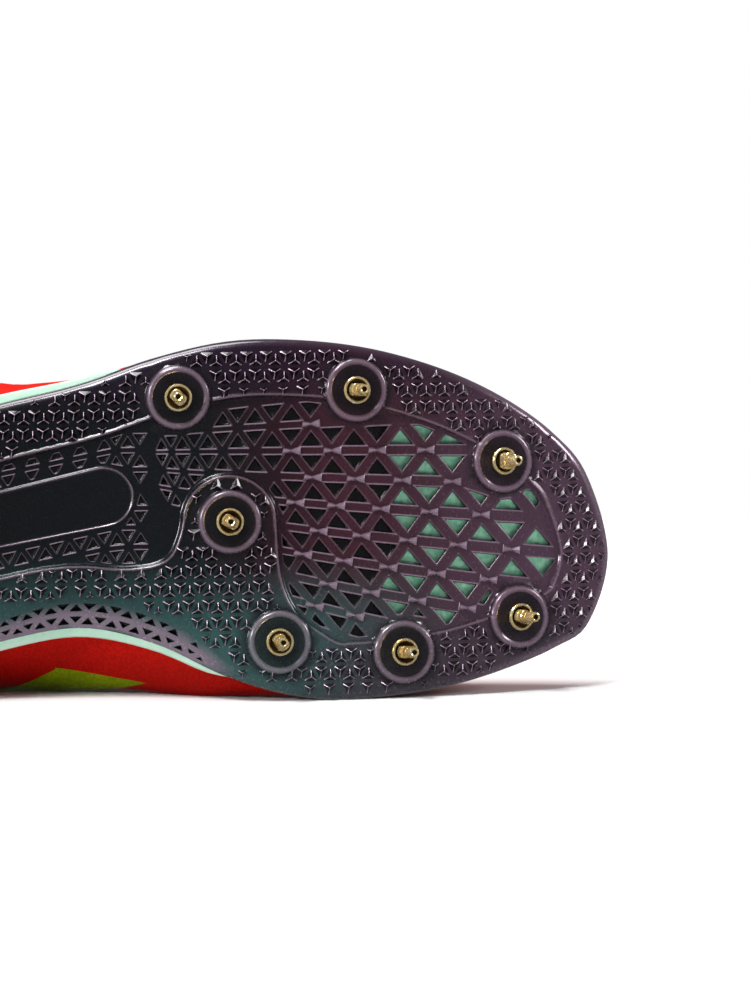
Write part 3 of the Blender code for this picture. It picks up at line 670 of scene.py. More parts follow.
def inside_all(points, polygon):
    """Which points lie inside a closed line."""
    x, y = points[:, 0][:, None], points[:, 1][:, None]
    a = polygon[None]
    b = np.roll(polygon, 1, axis=0)[None]
    crosses = ((a[..., 1] > y) != (b[..., 1] > y)) & (
        x < (b[..., 0] - a[..., 0]) * (y - a[..., 1]) / (b[..., 1] - a[..., 1] + 1e-15) + a[..., 0])
    return crosses.sum(1) % 2 == 1


def zone_distance(points):
    """Positive inside the middle zone."""
    dist, _, _ = segment_distance(points, ZONE)
    return np.where(inside_all(points, ZONE), dist, -dist)


def boss_distance(points):
    """Distance to the nearest boss centre."""
    centres = np.array([b[:2] for b in BOSSES])
    return np.linalg.norm(points[:, None, :] - centres[None], axis=2).min(1)


def panel_distance(points):
    """Distance to the smooth panel's border, negative on the panel."""
    a, b, r = PANEL
    d = b - a
    t = np.clip(((points - a) @ d) / (d @ d), 0.0, 1.0)
    return np.linalg.norm(points - (a + d * t[:, None]), axis=1) - (r - PANEL_TAPER * (1 - t))


# Steps across the zone's border, from the land into the zone: a raised line, then the recess
ZONE_PLACES = (-1.35, -1.0, -0.8, -0.5, -0.25, 0.15, 0.55)
ZONE_LEVELS = (0.0, -0.28, -0.42, -0.42, -0.10, 0.62, RECESS)

# Steps across the smooth panel's border
PANEL_PLACES = (-0.35, 0.05, 0.2, 0.35, 0.6, 1.0)
PANEL_LEVELS = (-0.30, -0.36, -0.55, -0.55, -0.2, 0.0)

# Boss from its middle outward: dished face, rounded ring, foot
BOSS_RADII = (0.0, 6.0, 6.7, 7.05, 7.35, 7.7, 8.1, 8.45, 8.7, 8.9)
BOSS_LEVELS = (-1.05, -1.1, -1.2, -1.45, -1.62, -1.66, -1.5, -1.0, -0.45, 0.0)


# Painted highlight on the raised lines and painted shade in the hollows beside them: strength, place and width
RING_GLOW = (0.55, 7.75, 0.75)
BEAD_GLOW = (0.6, -0.65, 0.22)
PANEL_GLOW = (0.5, 0.25, 0.18)
FOOT_SHADE = (0.8, 8.85, 0.3)
LINE_SHADE = (0.75, 0.02, 0.2)
# Painted highlight on the sole's edge: midfoot, toe, and where the edge is slanted
EDGE_HIGHLIGHT = (0.06, 0.45, 0.75)


def line_glow(distance, strength, place_at, width):
    return strength * bell(distance - place_at, width)


def edge_relief(points):
    """Share of the way in over the plate's edge, height there, and how slanted the edge is."""
    dist, index, share = segment_distance(points, OUT)
    after = (index + 1) % COUNT
    inset = lerp(OUT_INSET[index], OUT_INSET[after], share)
    rise = lerp(OUT_RISE[index], OUT_RISE[after], share)
    e = np.clip(dist / inset, 0.0, 1.0)
    round_edge = 1.0 - np.sqrt(np.clip(1.0 - (1.0 - e) ** 2, 0.0, 1.0))
    flat_edge = np.where(e > 0.9, (1 - e) ** 2 / 0.2, 0.05 + (0.9 - e) * (0.95 / 0.9))
    slanted = smooth((inset - 2.8) / 2.5)
    return e, rise * lerp(round_edge, flat_edge, slanted), slanted


def plate_height(points):
    """Height of the plate's underside with edge, bead, panel and bosses, and how much painted highlight it gets.
    """
    points = np.asarray(points, dtype=float)
    e, edge_height, slanted = edge_relief(points)
    zone, panel, ring = zone_distance(points), panel_distance(points), boss_distance(points)
    on_panel = np.interp(panel, PANEL_PLACES, PANEL_LEVELS)
    relief = np.interp(zone, ZONE_PLACES, ZONE_LEVELS) + np.where(zone > 1.0, on_panel, 0.0)
    profile = np.interp(ring, BOSS_RADII, BOSS_LEVELS)
    foot = lerp(profile, np.minimum(relief, profile), smooth((ring - 8.5) / 0.4))
    relief = np.where(ring < BOSS_RADII[-1], foot, relief)
    midfoot, toe, slant = EDGE_HIGHLIGHT
    toward_toe = smooth((points[:, 0] - 235.0) / 40.0)
    glows = (
        smooth((1.0 - e) * 1.6) * lerp(lerp(midfoot, toe, toward_toe), slant, slanted),
        line_glow(ring, *RING_GLOW),
        np.where(ring > BOSS_RADII[-1], line_glow(zone, *BEAD_GLOW), 0.0),
        line_glow(panel, *PANEL_GLOW),
    )
    return under_all(points[:, 0]) + edge_height + relief, np.clip(np.max(glows, axis=0), 0.0, 1.0)


# Plate: pockets and windows
def lattice_node(row, u):
    """Node of the window fan."""
    below = row - FAN_MIDDLE
    x = FAN_START + FAN_STEP * u + FAN_GROWTH * u * u + FAN_LEAN * below + FAN_BOW * below * below
    offset = FAN_TOP - (FAN_ROW + FAN_SPREAD * u) * (row - 2)
    return np.array((x * LENGTH, offset * BALL_WIDTH))


def triangles_of(node, rows, columns):
    """Triangles of a lattice whose nodes the node function gives."""
    for row in rows:
        odd = row % 2
        for k in columns:
            half = 0.5 * odd
            base = k + 0.5 - half
            yield [node(row, k + half), node(row, k + 1 + half), node(row + 1, k + 0.5 + half)]
            yield [node(row + 1, base), node(row + 1, base + 1), node(row, base + 0.5)]


def shrink(polygon, amount):
    """Convex polygon with every side moved inward, or None if nothing is left."""
    p = np.array(polygon)
    area = 0.5 * np.sum(p[:, 0] * np.roll(p[:, 1], -1) - np.roll(p[:, 0], -1) * p[:, 1])
    if area < 0:
        p = p[::-1]
    for a, b in list(zip(p, np.roll(p, -1, axis=0))):
        d = b - a
        length = np.linalg.norm(d)
        if length < 1e-6:
            continue
        normal = np.array((-d[1], d[0])) / length
        p = clip_polygon(p, a + normal * amount, normal)
        if p is None:
            return None
    return p


def clip_polygon(p, point, normal):
    """Part of a convex polygon on the side that normal points to."""
    result = []
    for a, b in zip(p, np.roll(p, -1, axis=0)):
        da, db = (a - point) @ normal, (b - point) @ normal
        if da >= 0:
            result.append(a)
        if (da > 0 > db) or (da < 0 < db):
            result.append(a + (b - a) * da / (da - db))
    cleaned = []
    for q in result:
        if not cleaned or np.linalg.norm(q - cleaned[-1]) > 0.15:
            cleaned.append(q)
    if len(cleaned) > 1 and np.linalg.norm(cleaned[0] - cleaned[-1]) < 0.15:
        cleaned.pop()
    return np.array(cleaned) if len(cleaned) > 2 else None


def grow(p, amount):
    """Polygon with every side moved outward."""
    middle = p.mean(0)
    moved = []
    for a, b in zip(p, np.roll(p, -1, axis=0)):
        d = (b - a) / np.linalg.norm(b - a)
        normal = np.array((d[1], -d[0]))
        if normal @ (a - middle) < 0:
            normal = -normal
        moved.append((a + normal * amount, d))
    result = []
    for (a, d), (b, f) in zip(moved[-1:] + moved[:-1], moved):
        cross = d[0] * f[1] - d[1] * f[0]
        if abs(cross) < 0.05:
            result.append(b)
            continue
        t = ((b - a)[0] * f[1] - (b - a)[1] * f[0]) / cross
        result.append(a + d * t)
    return np.array(result)


def area_of(p):
    return 0.5 * abs(np.sum(p[:, 0] * np.roll(p[:, 1], -1) - np.roll(p[:, 0], -1) * p[:, 1]))


def clip_to(p, field, margin):
    """Clip a convex polygon by a distance field, positive where it may stay."""
    for _ in range(6):
        tested = np.concatenate([p, (p + np.roll(p, -1, axis=0)) / 2])
        values = field(tested)
        k = values.argmin()
        if values[k] >= margin - 0.05:
            return p
        spot = tested[k]
        step = 0.3
        around = field(np.array([spot + (step, 0), spot - (step, 0), spot + (0, step), spot - (0, step)]))
        gradient = np.array((around[0] - around[1], around[2] - around[3]))
        size = np.linalg.norm(gradient)
        if size < 1e-6:
            return None
        gradient /= size
        p = clip_polygon(p, spot + gradient * (margin - values[k]), gradient)
        if p is None:
            return None
    return p


def rounded(p, radius, steps=3):
    """Polygon with rounded corners; every corner gives the same number of points."""
    result = []
    count = len(p)
    for i in range(count):
        a, b, c = p[i - 1], p[i], p[(i + 1) % count]
        reach = min(radius, 0.4 * np.linalg.norm(a - b), 0.4 * np.linalg.norm(c - b))
        first = b + (a - b) / np.linalg.norm(a - b) * reach
        last = b + (c - b) / np.linalg.norm(c - b) * reach
        for j in range(steps):
            t = j / (steps - 1)
            result.append(first * (1 - t) ** 2 + b * 2 * t * (1 - t) + last * t * t)
    return np.array(result)


# Room that pockets leave round a boss centre and the smooth panel
BOSS_ROOM = 9.2
PANEL_ROOM = 0.8


def free_field(points):
    """Room for pockets: inside the zone, off the bosses and off the smooth panel."""
    off_bosses = boss_distance(points) - BOSS_ROOM
    off_panel = panel_distance(points) - PANEL_ROOM
    return np.minimum(np.minimum(zone_distance(points), off_bosses), off_panel)


def wall_field(points):
    """Room for pockets in the slanted wall of the arch."""
    dist, index, _ = segment_distance(points, OUT)
    inset = OUT_INSET[index]
    return np.minimum(np.minimum(dist - 0.9, inset - 0.7 - dist), (inset - 4.2) * 3.0)


# Fine lattice of the waist: start, steps, and its centre line as places along and offsets
WAIST_START = 96.0
WAIST_STEP = 6.4
WAIST_ROW = 5.2
WAIST_AXIS = ((0.0, 40.0, 100.0, 150.0), (-14.0, -15.0, -3.5, 6.5))
# Pockets of the arch wall: shares of the way along the edge and of the wall's width
ARCH_START = 0.345
ARCH_STEP = 0.0190
ARCH_LOW = 0.06
ARCH_ROW = 0.46
# Where the fan ends and the fine lattice starts
FAN_END = 0.557 * LENGTH
# Pockets by kind: room, margin, least area, least share of the whole triangle, corner radius
POCKET_RULES = {
    "open": (free_field, 1.0, 3.0, 0.22, 0.35),
    "blind": (free_field, 1.0, 3.0, 0.22, 0.35),
    "fine": (free_field, 0.9, 2.2, 0.0, 0.25),
    "arch": (wall_field, 0.0, 1.2, 0.0, 0.25),
}


def waist_node(row, u):
    """Nodes of the fine waist lattice, following the waist."""
    x = WAIST_START + WAIST_STEP * u
    return np.array((x, np.interp(x, *WAIST_AXIS) + WAIST_ROW * (row - 0.5)))


def arch_node(row, u):
    """Nodes of the two rows of pockets in the arch wall."""
    point, out = edge(-1, min(max(ARCH_START + ARCH_STEP * u, 0.0), 1.0))
    spot = point - out * (inset_of(point, -1) * (ARCH_LOW + ARCH_ROW * row))
    return np.array((spot.x, spot.y))


def pick(pockets, corners, inward, kind):
    """Add a pocket inside the triangle of corners, as far as there is room for it."""
    field, margin, least, least_share, radius = POCKET_RULES[kind]
    whole = shrink(corners, inward)
    if whole is None:
        return
    p = clip_to(whole, field, margin)
    if p is not None and area_of(p) >= max(least, area_of(whole) * least_share):
        pockets.append((p, radius, kind))


def gather_pockets():
    """All pockets of the plate as (polygon, corner radius, kind)."""
    pockets = []
    for corners in triangles_of(lattice_node, range(-1, 10), range(-6, 8)):
        centre = sum(corners) / 3.0
        if centre[0] < FAN_END:
            continue
        widest = max(np.linalg.norm(a - b) for a, b in zip(corners, corners[1:] + corners[:1]))
        rib = 0.84 * RIB * widest / (FAN_STEP * LENGTH)
        pick(pockets, corners, rib / 2.0, "open" if centre[0] > THROUGH_X else "blind")
    for corners in triangles_of(waist_node, range(-5, 6), range(-13, 12)):
        if sum(corners)[0] / 3.0 <= FAN_END - 1.0:
            pick(pockets, corners, 0.75, "fine")
    for corners in triangles_of(arch_node, range(0, 2), range(0, 20)):
        pick(pockets, corners, 0.62, "arch")
    return pockets


POCKETS = gather_pockets()


# Raised line round every pocket
FRAME_WIDTH = {"open": 0.34, "blind": 0.34, "fine": 0.26, "arch": 0.18}
FRAME_HEIGHT = 0.14

# Walls of the pockets from the outline down: way inward and depth
POCKET_WALLS = {
    "open": ((0.22, 0.12), (0.34, 0.45), (0.36, PLATE - RECESS)),
    "blind": ((0.22, 0.12), (0.34, 0.45), (0.55, POCKET - RECESS + 0.2)),
    "fine": ((0.16, 0.08), (0.26, 0.3), (0.40, 0.75)),
    "arch": ((0.12, 0.08), (0.2, 0.3), (0.30, 0.9)),
}

# Longest straight edge of a ring over a curved base
LONGEST_EDGE = 3.0


def dense(ring, step):
    """Closed ring with no edge longer than the step."""
    result = []
    for p, q in zip(ring, ring[1:] + ring[:1]):
        count = max(1, math.ceil(np.linalg.norm(q - p) / step))
        result += [p + (q - p) * (i / count) for i in range(count)]
    return np.array(result)


def outline_glow(ring):
    """Painted highlight on every point of a pocket's outline: strong on edges that run along the shoe."""
    after = np.roll(ring, -1, axis=0) - ring
    size = np.linalg.norm(after, axis=1)
    level = np.abs(after[:, 0]) / size
    before_long = np.roll(size, 1) > size
    chosen = np.where(before_long, np.roll(level, 1), level)
    return 0.22 + 0.78 * smooth((chosen - 0.75) / 0.2)


def zone_rings():
    """Rings along the border of the middle zone."""
    tangent = np.roll(ZONE, -1, axis=0) - np.roll(ZONE, 1, axis=0)
    tangent /= np.linalg.norm(tangent, axis=1)[:, None]
    inward = np.stack([-tangent[:, 1], tangent[:, 0]], axis=1)
    if inside_all(ZONE + inward * 0.5, ZONE).mean() < 0.5:
        inward = -inward
    return [ZONE + inward * amount for amount in (-1.7,) + ZONE_PLACES + (0.85,)]


def boss_rings():
    """Rings round every boss, from its foot inward."""
    turn = np.linspace(0, 2 * math.pi, 48 if FINE else 28, endpoint=False)
    circle = np.stack([np.cos(turn), np.sin(turn)], axis=1)
    return [np.array((x, y)) + circle * radius for x, y, _ in BOSSES for radius in BOSS_RADII[:1:-1]]


def panel_rings():
    """Rings along the border of the smooth panel."""
    back, front, reach = PANEL
    ahead = (front - back) / np.linalg.norm(front - back)
    across = np.array((-ahead[1], ahead[0]))
    rings = []
    for amount in (-0.65,) + PANEL_PLACES + (1.3,):
        ring = []
        for middle, radius, first in ((front, reach, -90), (back, reach - PANEL_TAPER, 90)):
            for degrees in range(first, first + 181, 10):
                t = math.radians(degrees)
                ring.append(middle + (ahead * math.cos(t) + across * math.sin(t)) * (radius + amount))
        rings.append(dense(ring, LONGEST_EDGE))
    return rings


def inner_grid(fixed):
    """Staggered grid of points inside the outline that keeps clear of the fixed ones."""
    step = 3.2 if FINE else 5.0
    grid = np.array([(x, w + (step / 2 if i % 2 else 0.0)) for i, x in enumerate(np.arange(2.0, LENGTH, step))
                     for w in np.arange(-50.0, 50.0, step)])
    grid = grid[inside_all(grid, OUT)]
    keep = []
    for start in range(0, len(grid), 500):
        block = grid[start:start + 500]
        near = np.linalg.norm(block[:, None] - fixed[None], axis=2).min(1)
        keep.append(block[near > step * 0.45])
    return np.concatenate(keep)


def plan(rings, holes):
    """Points and triangles of the plate's face as seen from below, with the pockets left out."""
    points, edges = [], []
    for ring in rings:
        start = len(points)
        points += [tuple(q) for q in ring]
        edges += [(start + i, start + (i + 1) % len(ring)) for i in range(len(ring))]
    points += [tuple(q) for q in inner_grid(np.array(points))]
    verts, _, faces, _, _, _ = geometry.delaunay_2d_cdt([Vector(q) for q in points], edges, [], 0, 1e-5)
    flat = np.array([(v.x, v.y) for v in verts])
    tri = np.array([f[:] for f in faces if len(f) == 3])
    centre = flat[tri].mean(1)
    keep = inside_all(centre, OUT)
    for ring in holes:
        low, high = ring.min(0) - 0.01, ring.max(0) + 0.01
        near = np.nonzero(keep & (centre > low).all(1) & (centre < high).all(1))[0]
        if len(near):
            keep[near[inside_all(centre[near], ring)]] = False
    return flat, tri[keep]


def frame_lines(flat, holes):
    """Which points lie on a pocket's outline, and the painted highlight on those lines."""
    lifted = np.zeros(len(flat), dtype=bool)
    glow = np.zeros(len(flat))
    for (_, _, kind), ring in zip(POCKETS, holes):
        if kind == "arch":
            continue
        near = np.nonzero((np.abs(flat - ring.mean(0)) < 6.0).all(1))[0]
        gaps = np.linalg.norm(flat[near][:, None] - ring[None], axis=2)
        touching = gaps.min(1) < 1e-3
        lifted[near[touching]] = True
        glow[near[touching]] = outline_glow(ring)[gaps[touching].argmin(1)]
    return lifted, glow


def face_depth(flat):
    """Painted shade: near-black on the dished boss faces, the boss feet and the foot of the zone's line."""
    ring = boss_distance(flat)
    shade = np.maximum(0.85 * smooth((7.1 - ring) / 0.5), line_glow(ring, *FOOT_SHADE))
    return np.where(ring > 9.3, np.maximum(shade, line_glow(zone_distance(flat), *LINE_SHADE)), shade)


def narrowed(p, inward):
    """Pocket's polygon moved inward, with its corners in their old order."""
    smaller = shrink(p, inward)
    if smaller is not None and len(smaller) == len(p):
        nearest = np.linalg.norm(smaller[:, None] - p[None], axis=2).argmin(0)
        if len(set(nearest.tolist())) == len(p):
            return smaller[nearest]
    middle = p.mean(0)
    return middle + (p - middle) * (1.0 - inward / math.sqrt(area_of(p)))


class Shape:
    """Growing mesh of the plate, with painted highlight (rim) and painted shade (deep) on every point."""

    def __init__(self):
        self.verts = []
        self.faces = []
        self.rims = []
        self.deeps = []

    def points(self, spots, rims, deep):
        """Add a ring of points and give the index of its first."""
        start = len(self.verts)
        self.verts += [tuple(q) for q in spots]
        self.rims += list(rims)
        self.deeps += list(deep)
        return start

    def pocket(self, p, radius, kind, ring):
        """Walls of one pocket from its outline down, and the floor of a blind one."""
        top, rims = plate_height(ring)
        count = len(ring)
        if kind != "arch":
            top = top - FRAME_HEIGHT
            rims = outline_glow(ring)
        previous = self.points(np.column_stack([ring, top]), rims, [0.0] * count)
        for inward, deeper in POCKET_WALLS[kind]:
            # Painted shade: the rings below the outline get the near-black deep value, faint on the first and
            # full below it
            inner = rounded(narrowed(p, inward), radius * 0.8)
            here = self.points(np.column_stack([inner, top + deeper]), [0.0] * count,
                               [0.2 if deeper < 0.2 else 1.0] * count)
            self.faces += ring_faces(previous, here, count)
            previous = here
        if kind != "open":
            self.faces.append(tuple(previous + i for i in range(count)))

    def rim_wall(self):
        """Wall from the sole's edge up to the foam, and back inside to the plate's upper face."""
        rings = [np.column_stack([OUT, plate_height(OUT)[0]])]
        for inward, lift in ((0.05, 0.06), (0.5, 0.12), (1.4, 0.1)):
            rings.append(offset_ring(lambda p, s: -inward, lambda p, s: rise_of(p, s) + lift))
        rings.append(offset_ring(lambda p, s: -inset_of(p, s), lambda p, s: PLATE))
        # A faint painted highlight along the edge wall, no painted shade
        starts = [self.points(ring, [0.05] * COUNT, [0.0] * COUNT) for ring in rings]
        for a, b in zip(starts, starts[1:]):
            self.faces += ring_faces(a, b)


def close_up(obj):
    """Join the points that meet and turn the faces outward."""
    bm = bmesh.new()
    bm.from_mesh(obj.data)
    bmesh.ops.remove_doubles(bm, verts=bm.verts[:], dist=2e-6)
    bmesh.ops.recalc_face_normals(bm, faces=bm.faces[:])
    probe = max(bm.faces, key=lambda f: f.calc_area())
    if probe.normal.y > 0:
        bmesh.ops.reverse_faces(bm, faces=bm.faces[:])
    bm.to_mesh(obj.data)
    bm.free()


def build_plate():
    """Plate with its relief, bosses, pockets and windows."""
    loops = [OUT - OUT_DIR * (OUT_INSET * amount)[:, None] for amount in (0.0, 0.12, 0.3, 0.55, 1.0)]
    loops += zone_rings() + boss_rings() + panel_rings()
    holes = [rounded(p, radius) for p, radius, _ in POCKETS]
    frames = [rounded(grow(p, FRAME_WIDTH[kind]), radius + 0.1) for p, radius, kind in POCKETS]
    flat, triangles = plan(loops + holes + frames, holes)
    height, rim = plate_height(flat)
    lifted, glow = frame_lines(flat, holes)
    shape = Shape()
    face = np.column_stack([flat, height - FRAME_HEIGHT * lifted])
    # Painted highlight from the relief and the pocket outlines, painted shade from face_depth
    shape.points(face, np.maximum(rim, glow), face_depth(flat))
    shape.faces += [tuple(t) for t in triangles]
    for (p, radius, kind), ring in zip(POCKETS, holes):
        shape.pocket(p, radius, kind, ring)
    shape.rim_wall()
    obj = mesh_object("plate_detailed", shape.verts, shape.faces, PEARL, 40.0,
                      values={"rim": shape.rims, "deep": shape.deeps})
    close_up(obj)
    soften(obj)
    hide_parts("outsole_plate")


build_plate()


# Studs on the edge land
STUD_HEIGHT = 1.2
STUD_SIZE = 0.72
STUD_CORNER = 0.10
STUD_TOP = 0.13
STUD_PITCH = 5.3
STUD_ROW = 4.75
# Painted shade on the studs' broad faces
STUD_DEEP = 0.7


def stud_node(row, u):
    """Nodes of the stud lattice on the land."""
    return np.array((STUD_PITCH * u + 0.4 * row, -52.0 + STUD_ROW * row + 0.018 * STUD_PITCH * u))


def stud_sizes(centres):
    """Size of the stud at every place: less near the edge, the zone and the bosses, and none without room."""
    dist, index, _ = segment_distance(centres, OUT)
    inset = OUT_INSET[index]
    room = np.minimum((dist - np.where(inset > 3.0, inset, 0.7)) / 2.2, (-zone_distance(centres) - 1.0) / 1.15)
    size = np.clip(np.minimum(room, (boss_distance(centres) - 8.6) / 1.5), 0.0, 1.0)
    return np.where(inside_all(centres, OUT) & (size > 0.5), size, 0.0)


def build_studs():
    """Three-sided pyramids on the land round the zone, with narrow faces along their ridges."""
    spots = np.array(list(triangles_of(stud_node, range(0, 23), range(0, 56))))
    centres = spots.mean(1)
    sizes = stud_sizes(centres)
    verts, faces, glow = [], [], []
    for corners, centre, size in zip(spots, centres, sizes):
        if size == 0.0:
            continue
        around = centre + (corners - centre) * (STUD_SIZE * size)
        after = np.roll(around, -1, axis=0)
        lower = np.stack([lerp(around, after, STUD_CORNER), lerp(around, after, 1.0 - STUD_CORNER)], axis=1)
        lower = lower.reshape(-1, 2)
        upper = centre + (lower - centre) * STUD_TOP
        height = plate_height(np.concatenate([lower, upper]))[0]
        start = len(verts)
        verts += [(q[0], q[1], h + 0.05) for q, h in zip(lower, height[:6])]
        verts += [(q[0], q[1], h - STUD_HEIGHT * math.sqrt(size)) for q, h in zip(upper, height[6:])]
        faces += ring_faces(start, start + 6, 6)
        faces.append(tuple(start + 6 + i for i in range(6)))
        glow += [0.0, 1.0] * 3 + [1.0]
    obj = mesh_object("edge_studs", verts, faces, PEARL)
    # Painted highlight (rim) on the ridge strips and tops, painted shade (deep) on the broad faces
    for name, values in (("rim", glow), ("deep", [0.0 if g > 0 else STUD_DEEP for g in glow])):
        layer = obj.data.attributes.new(name, "FLOAT", "FACE")
        layer.data.foreach_set("value", np.array(values, dtype=np.float32))
    soften(obj)


build_studs()

# Bow-tie cleat: points as along, across and out from the plate with their painted highlight, bright on the right
# half and the ends, then its faces
CLEAT = (
    # along, across, out, painted highlight
    (-2.6, -1.2, 0.0, 0.0),
    (0.0, -0.5, 0.0, 0.1),
    (2.6, -1.2, 0.0, 0.9),
    (2.6, 1.2, 0.0, 0.9),
    (0.0, 0.5, 0.0, 0.1),
    (-2.6, 1.2, 0.0, 0.0),
    (-2.2, -0.9, 0.45, 0.0),
    (0.0, 0.0, 1.05, 0.7),
    (2.2, -0.9, 0.45, 0.9),
    (2.2, 0.9, 0.45, 0.9),
    (-2.2, 0.9, 0.45, 0.0),
    (-2.3, 0.0, 0.75, 1.0),
    (2.3, 0.0, 0.75, 1.0),
)
CLEAT_FACES = ((0, 1, 7, 6), (1, 2, 8, 7), (2, 3, 9, 12, 8), (3, 4, 7, 9), (4, 5, 10, 7), (5, 0, 6, 11, 10),
               (6, 7, 11), (11, 7, 10), (7, 8, 12), (12, 9, 7))
CLEATS_FROM = 197.0
CLEATS_TO = 266.0


def build_cleats():
    """Cleats on the crossings of the fan."""
    verts, faces, glow = [], [], []
    for row in range(0, 10):
        for k in range(-2, 6):
            half = 0.5 * (row % 2)
            centre = lattice_node(row, k + half)
            ahead = lattice_node(row, k + 1 + half)
            if not CLEATS_FROM < centre[0] < CLEATS_TO or free_field(centre[None])[0] < 3.0:
                continue
            d = (ahead - centre) / np.linalg.norm(ahead - centre)
            n = np.array((-d[1], d[0]))
            flat = np.array([centre + d * a + n * b for a, b, _, _ in CLEAT])
            height = plate_height(flat)[0]
            start = len(verts)
            # The table's last column is the painted highlight
            for q, h, (_, _, out, cleat_highlight) in zip(flat, height, CLEAT):
                verts.append((q[0], q[1], h - out if out else h + 0.05))
                glow.append(cleat_highlight)
            faces += [tuple(start + i for i in side) for side in CLEAT_FACES]
    obj = mesh_object("fan_cleats", verts, faces, PEARL, values={"rim": glow})
    for face in obj.data.polygons:
        face.use_smooth = False


build_cleats()

# Pins
# Turned profile from the seat to the bore in the tip: radius and height over the seat
PIN_PROFILE = (
    (3.4, 0.10), (3.7, 0.30), (3.7, 0.85), (3.5, 1.10), (3.15, 1.15), (3.0, 0.95), (2.9, 0.15),
    (2.45, 0.10), (2.35, 0.90), (2.3, 4.0), (2.1, 4.3), (1.95, 4.35), (1.85, 3.95), (1.60, 3.95),
    (1.50, 4.5), (1.42, 8.0), (1.22, 8.5), (1.0, 8.6), (0.72, 8.45), (0.62, 7.7), (0.0, 7.7),
)
# Bands of the profile in painted shade, the groove by the flange and the bore in the tip, then the two flats for
# the wrench: half width, lowest, highest and widest radius
PIN_GROOVES = {5, 6, 7, 18, 19}
PIN_FLATS = (1.60, 0.5, 4.6, 2.4)
PIN_TURNS = 32


def turn_angles(count, start=0.0):
    """Angles round a full turn."""
    return [2 * math.pi * (i + start) / count for i in range(count)]


def build_pins():
    """Screw-in pins: flange, stem with two flats, stepped tip."""
    flat_half, flat_low, flat_high, flat_wide = PIN_FLATS
    for number, (x, w, turn) in enumerate(BOSSES, start=1):
        slope = (under(x + 0.5) - under(x - 0.5))
        axis = Vector((slope, 0.0, -1.0)).normalized()
        first = Vector((1.0, 0.0, slope)).normalized()
        second = axis.cross(first)
        angle = math.radians(turn)
        u = first * math.cos(angle) + second * math.sin(angle)
        v = second * math.cos(angle) - first * math.sin(angle)
        seat = Vector((x, w, under(x) - BOSS_HEIGHT + 0.25))
        verts, faces = [], []
        for radius, out in PIN_PROFILE:
            for a in turn_angles(PIN_TURNS, 0.5):
                side = radius * math.sin(a)
                if flat_low < out < flat_high and radius < flat_wide:
                    side = max(-flat_half, min(flat_half, side))
                verts.append(tuple(seat + axis * out + u * radius * math.cos(a) + v * side))
        for k in range(len(PIN_PROFILE) - 1):
            faces += ring_faces(k * PIN_TURNS, (k + 1) * PIN_TURNS, PIN_TURNS)
        faces.append(tuple(range(PIN_TURNS)))
        # Painted shade: the groove and bore bands take the second, dark material
        marks = [int(k in PIN_GROOVES) for k in range(len(PIN_PROFILE) - 1) for _ in range(PIN_TURNS)] + [0]
        obj = mesh_object("pin_%d" % number, verts, faces, BRASS, 30.0)
        obj.data.materials.append(BRASS_SHADE)
        obj.data.polygons.foreach_set("material_index", marks)
        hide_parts("spike_%d" % number)


build_pins()


# Midsole and insole
def over(p, s):
    """How far the foam reaches out past the plate's edge."""
    return lerp(-2.7, edge_value(p.x, s, 3), shelf_of(p, s))


def seat_of(p, s):
    """Height at which the upper's edge sits on the foam."""
    return rise_of(p, s) + lerp(0.8, band_of(p, s), shelf_of(p, s))


def foot_of(p, s):
    return max(foam_top(p.x), seat_of(p, s) + 1.0)


def rising(share):
    """Height of a ring on the foam's visible band."""
    return lambda p, s: lerp(rise_of(p, s) + 0.7, seat_of(p, s), share)


# Foam from its underside outward and up: way out and height
FOAM_RINGS = (
    (lambda p, s: -inset_of(p, s) - 1.0, lambda p, s: PLATE + GAP),
    (lambda p, s: -2.7, lambda p, s: rise_of(p, s) + GAP),
    (lambda p, s: over(p, s) - 0.3, lambda p, s: rise_of(p, s) + GAP + 0.1),
    (over, lambda p, s: rise_of(p, s) + GAP + 0.4),
    (lambda p, s: over(p, s) + 0.3 * shelf_of(p, s), rising(0.6)),
    (lambda p, s: over(p, s) + 0.1 * shelf_of(p, s), rising(0.9)),
    (lambda p, s: over(p, s) - 0.5, seat_of),
    (lambda p, s: -3.5, lambda p, s: seat_of(p, s) + 0.2),
    (lambda p, s: -4.2, foot_of),
)
# Insole from its underside up: way in and height over the foam
INSOLE_RINGS = ((5.2, GAP + 0.1), (5.0, GAP + 0.6), (5.1, GAP + INSOLE - 0.3), (5.6, GAP + INSOLE))
FILL_COLUMNS = 6


def stack(rings, bottom, top):
    """Closed body through rings of points; bottom and top give the height of its two broad faces."""
    verts = [tuple(q) for ring in rings for q in ring]
    faces = []
    for k in range(len(rings) - 1):
        faces += ring_faces(k * COUNT, (k + 1) * COUNT)
    fill_rows(verts, faces, 0, FILL_COLUMNS, bottom)
    fill_rows(verts, faces, (len(rings) - 1) * COUNT, FILL_COLUMNS, top)
    return verts, faces


def build_foam():
    """Foam wedge, with painted shade on the faces under the plate and its outer band left lighter."""
    rings = [offset_ring(amount, height) for amount, height in FOAM_RINGS]
    verts, faces = stack(rings, lambda x, w: under(x) + PLATE + GAP, lambda x, w: under(x) + foam_top(x))
    # Painted shade value: 1 under the plate, 0 on the outer band that shows
    shade = np.ones(len(verts))
    shade[2 * COUNT:(len(rings) - 1) * COUNT] = 0.0
    obj = mesh_object("midsole_foam", verts, faces, FOAM, 50.0, values={"shade": shade})
    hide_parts("midsole")


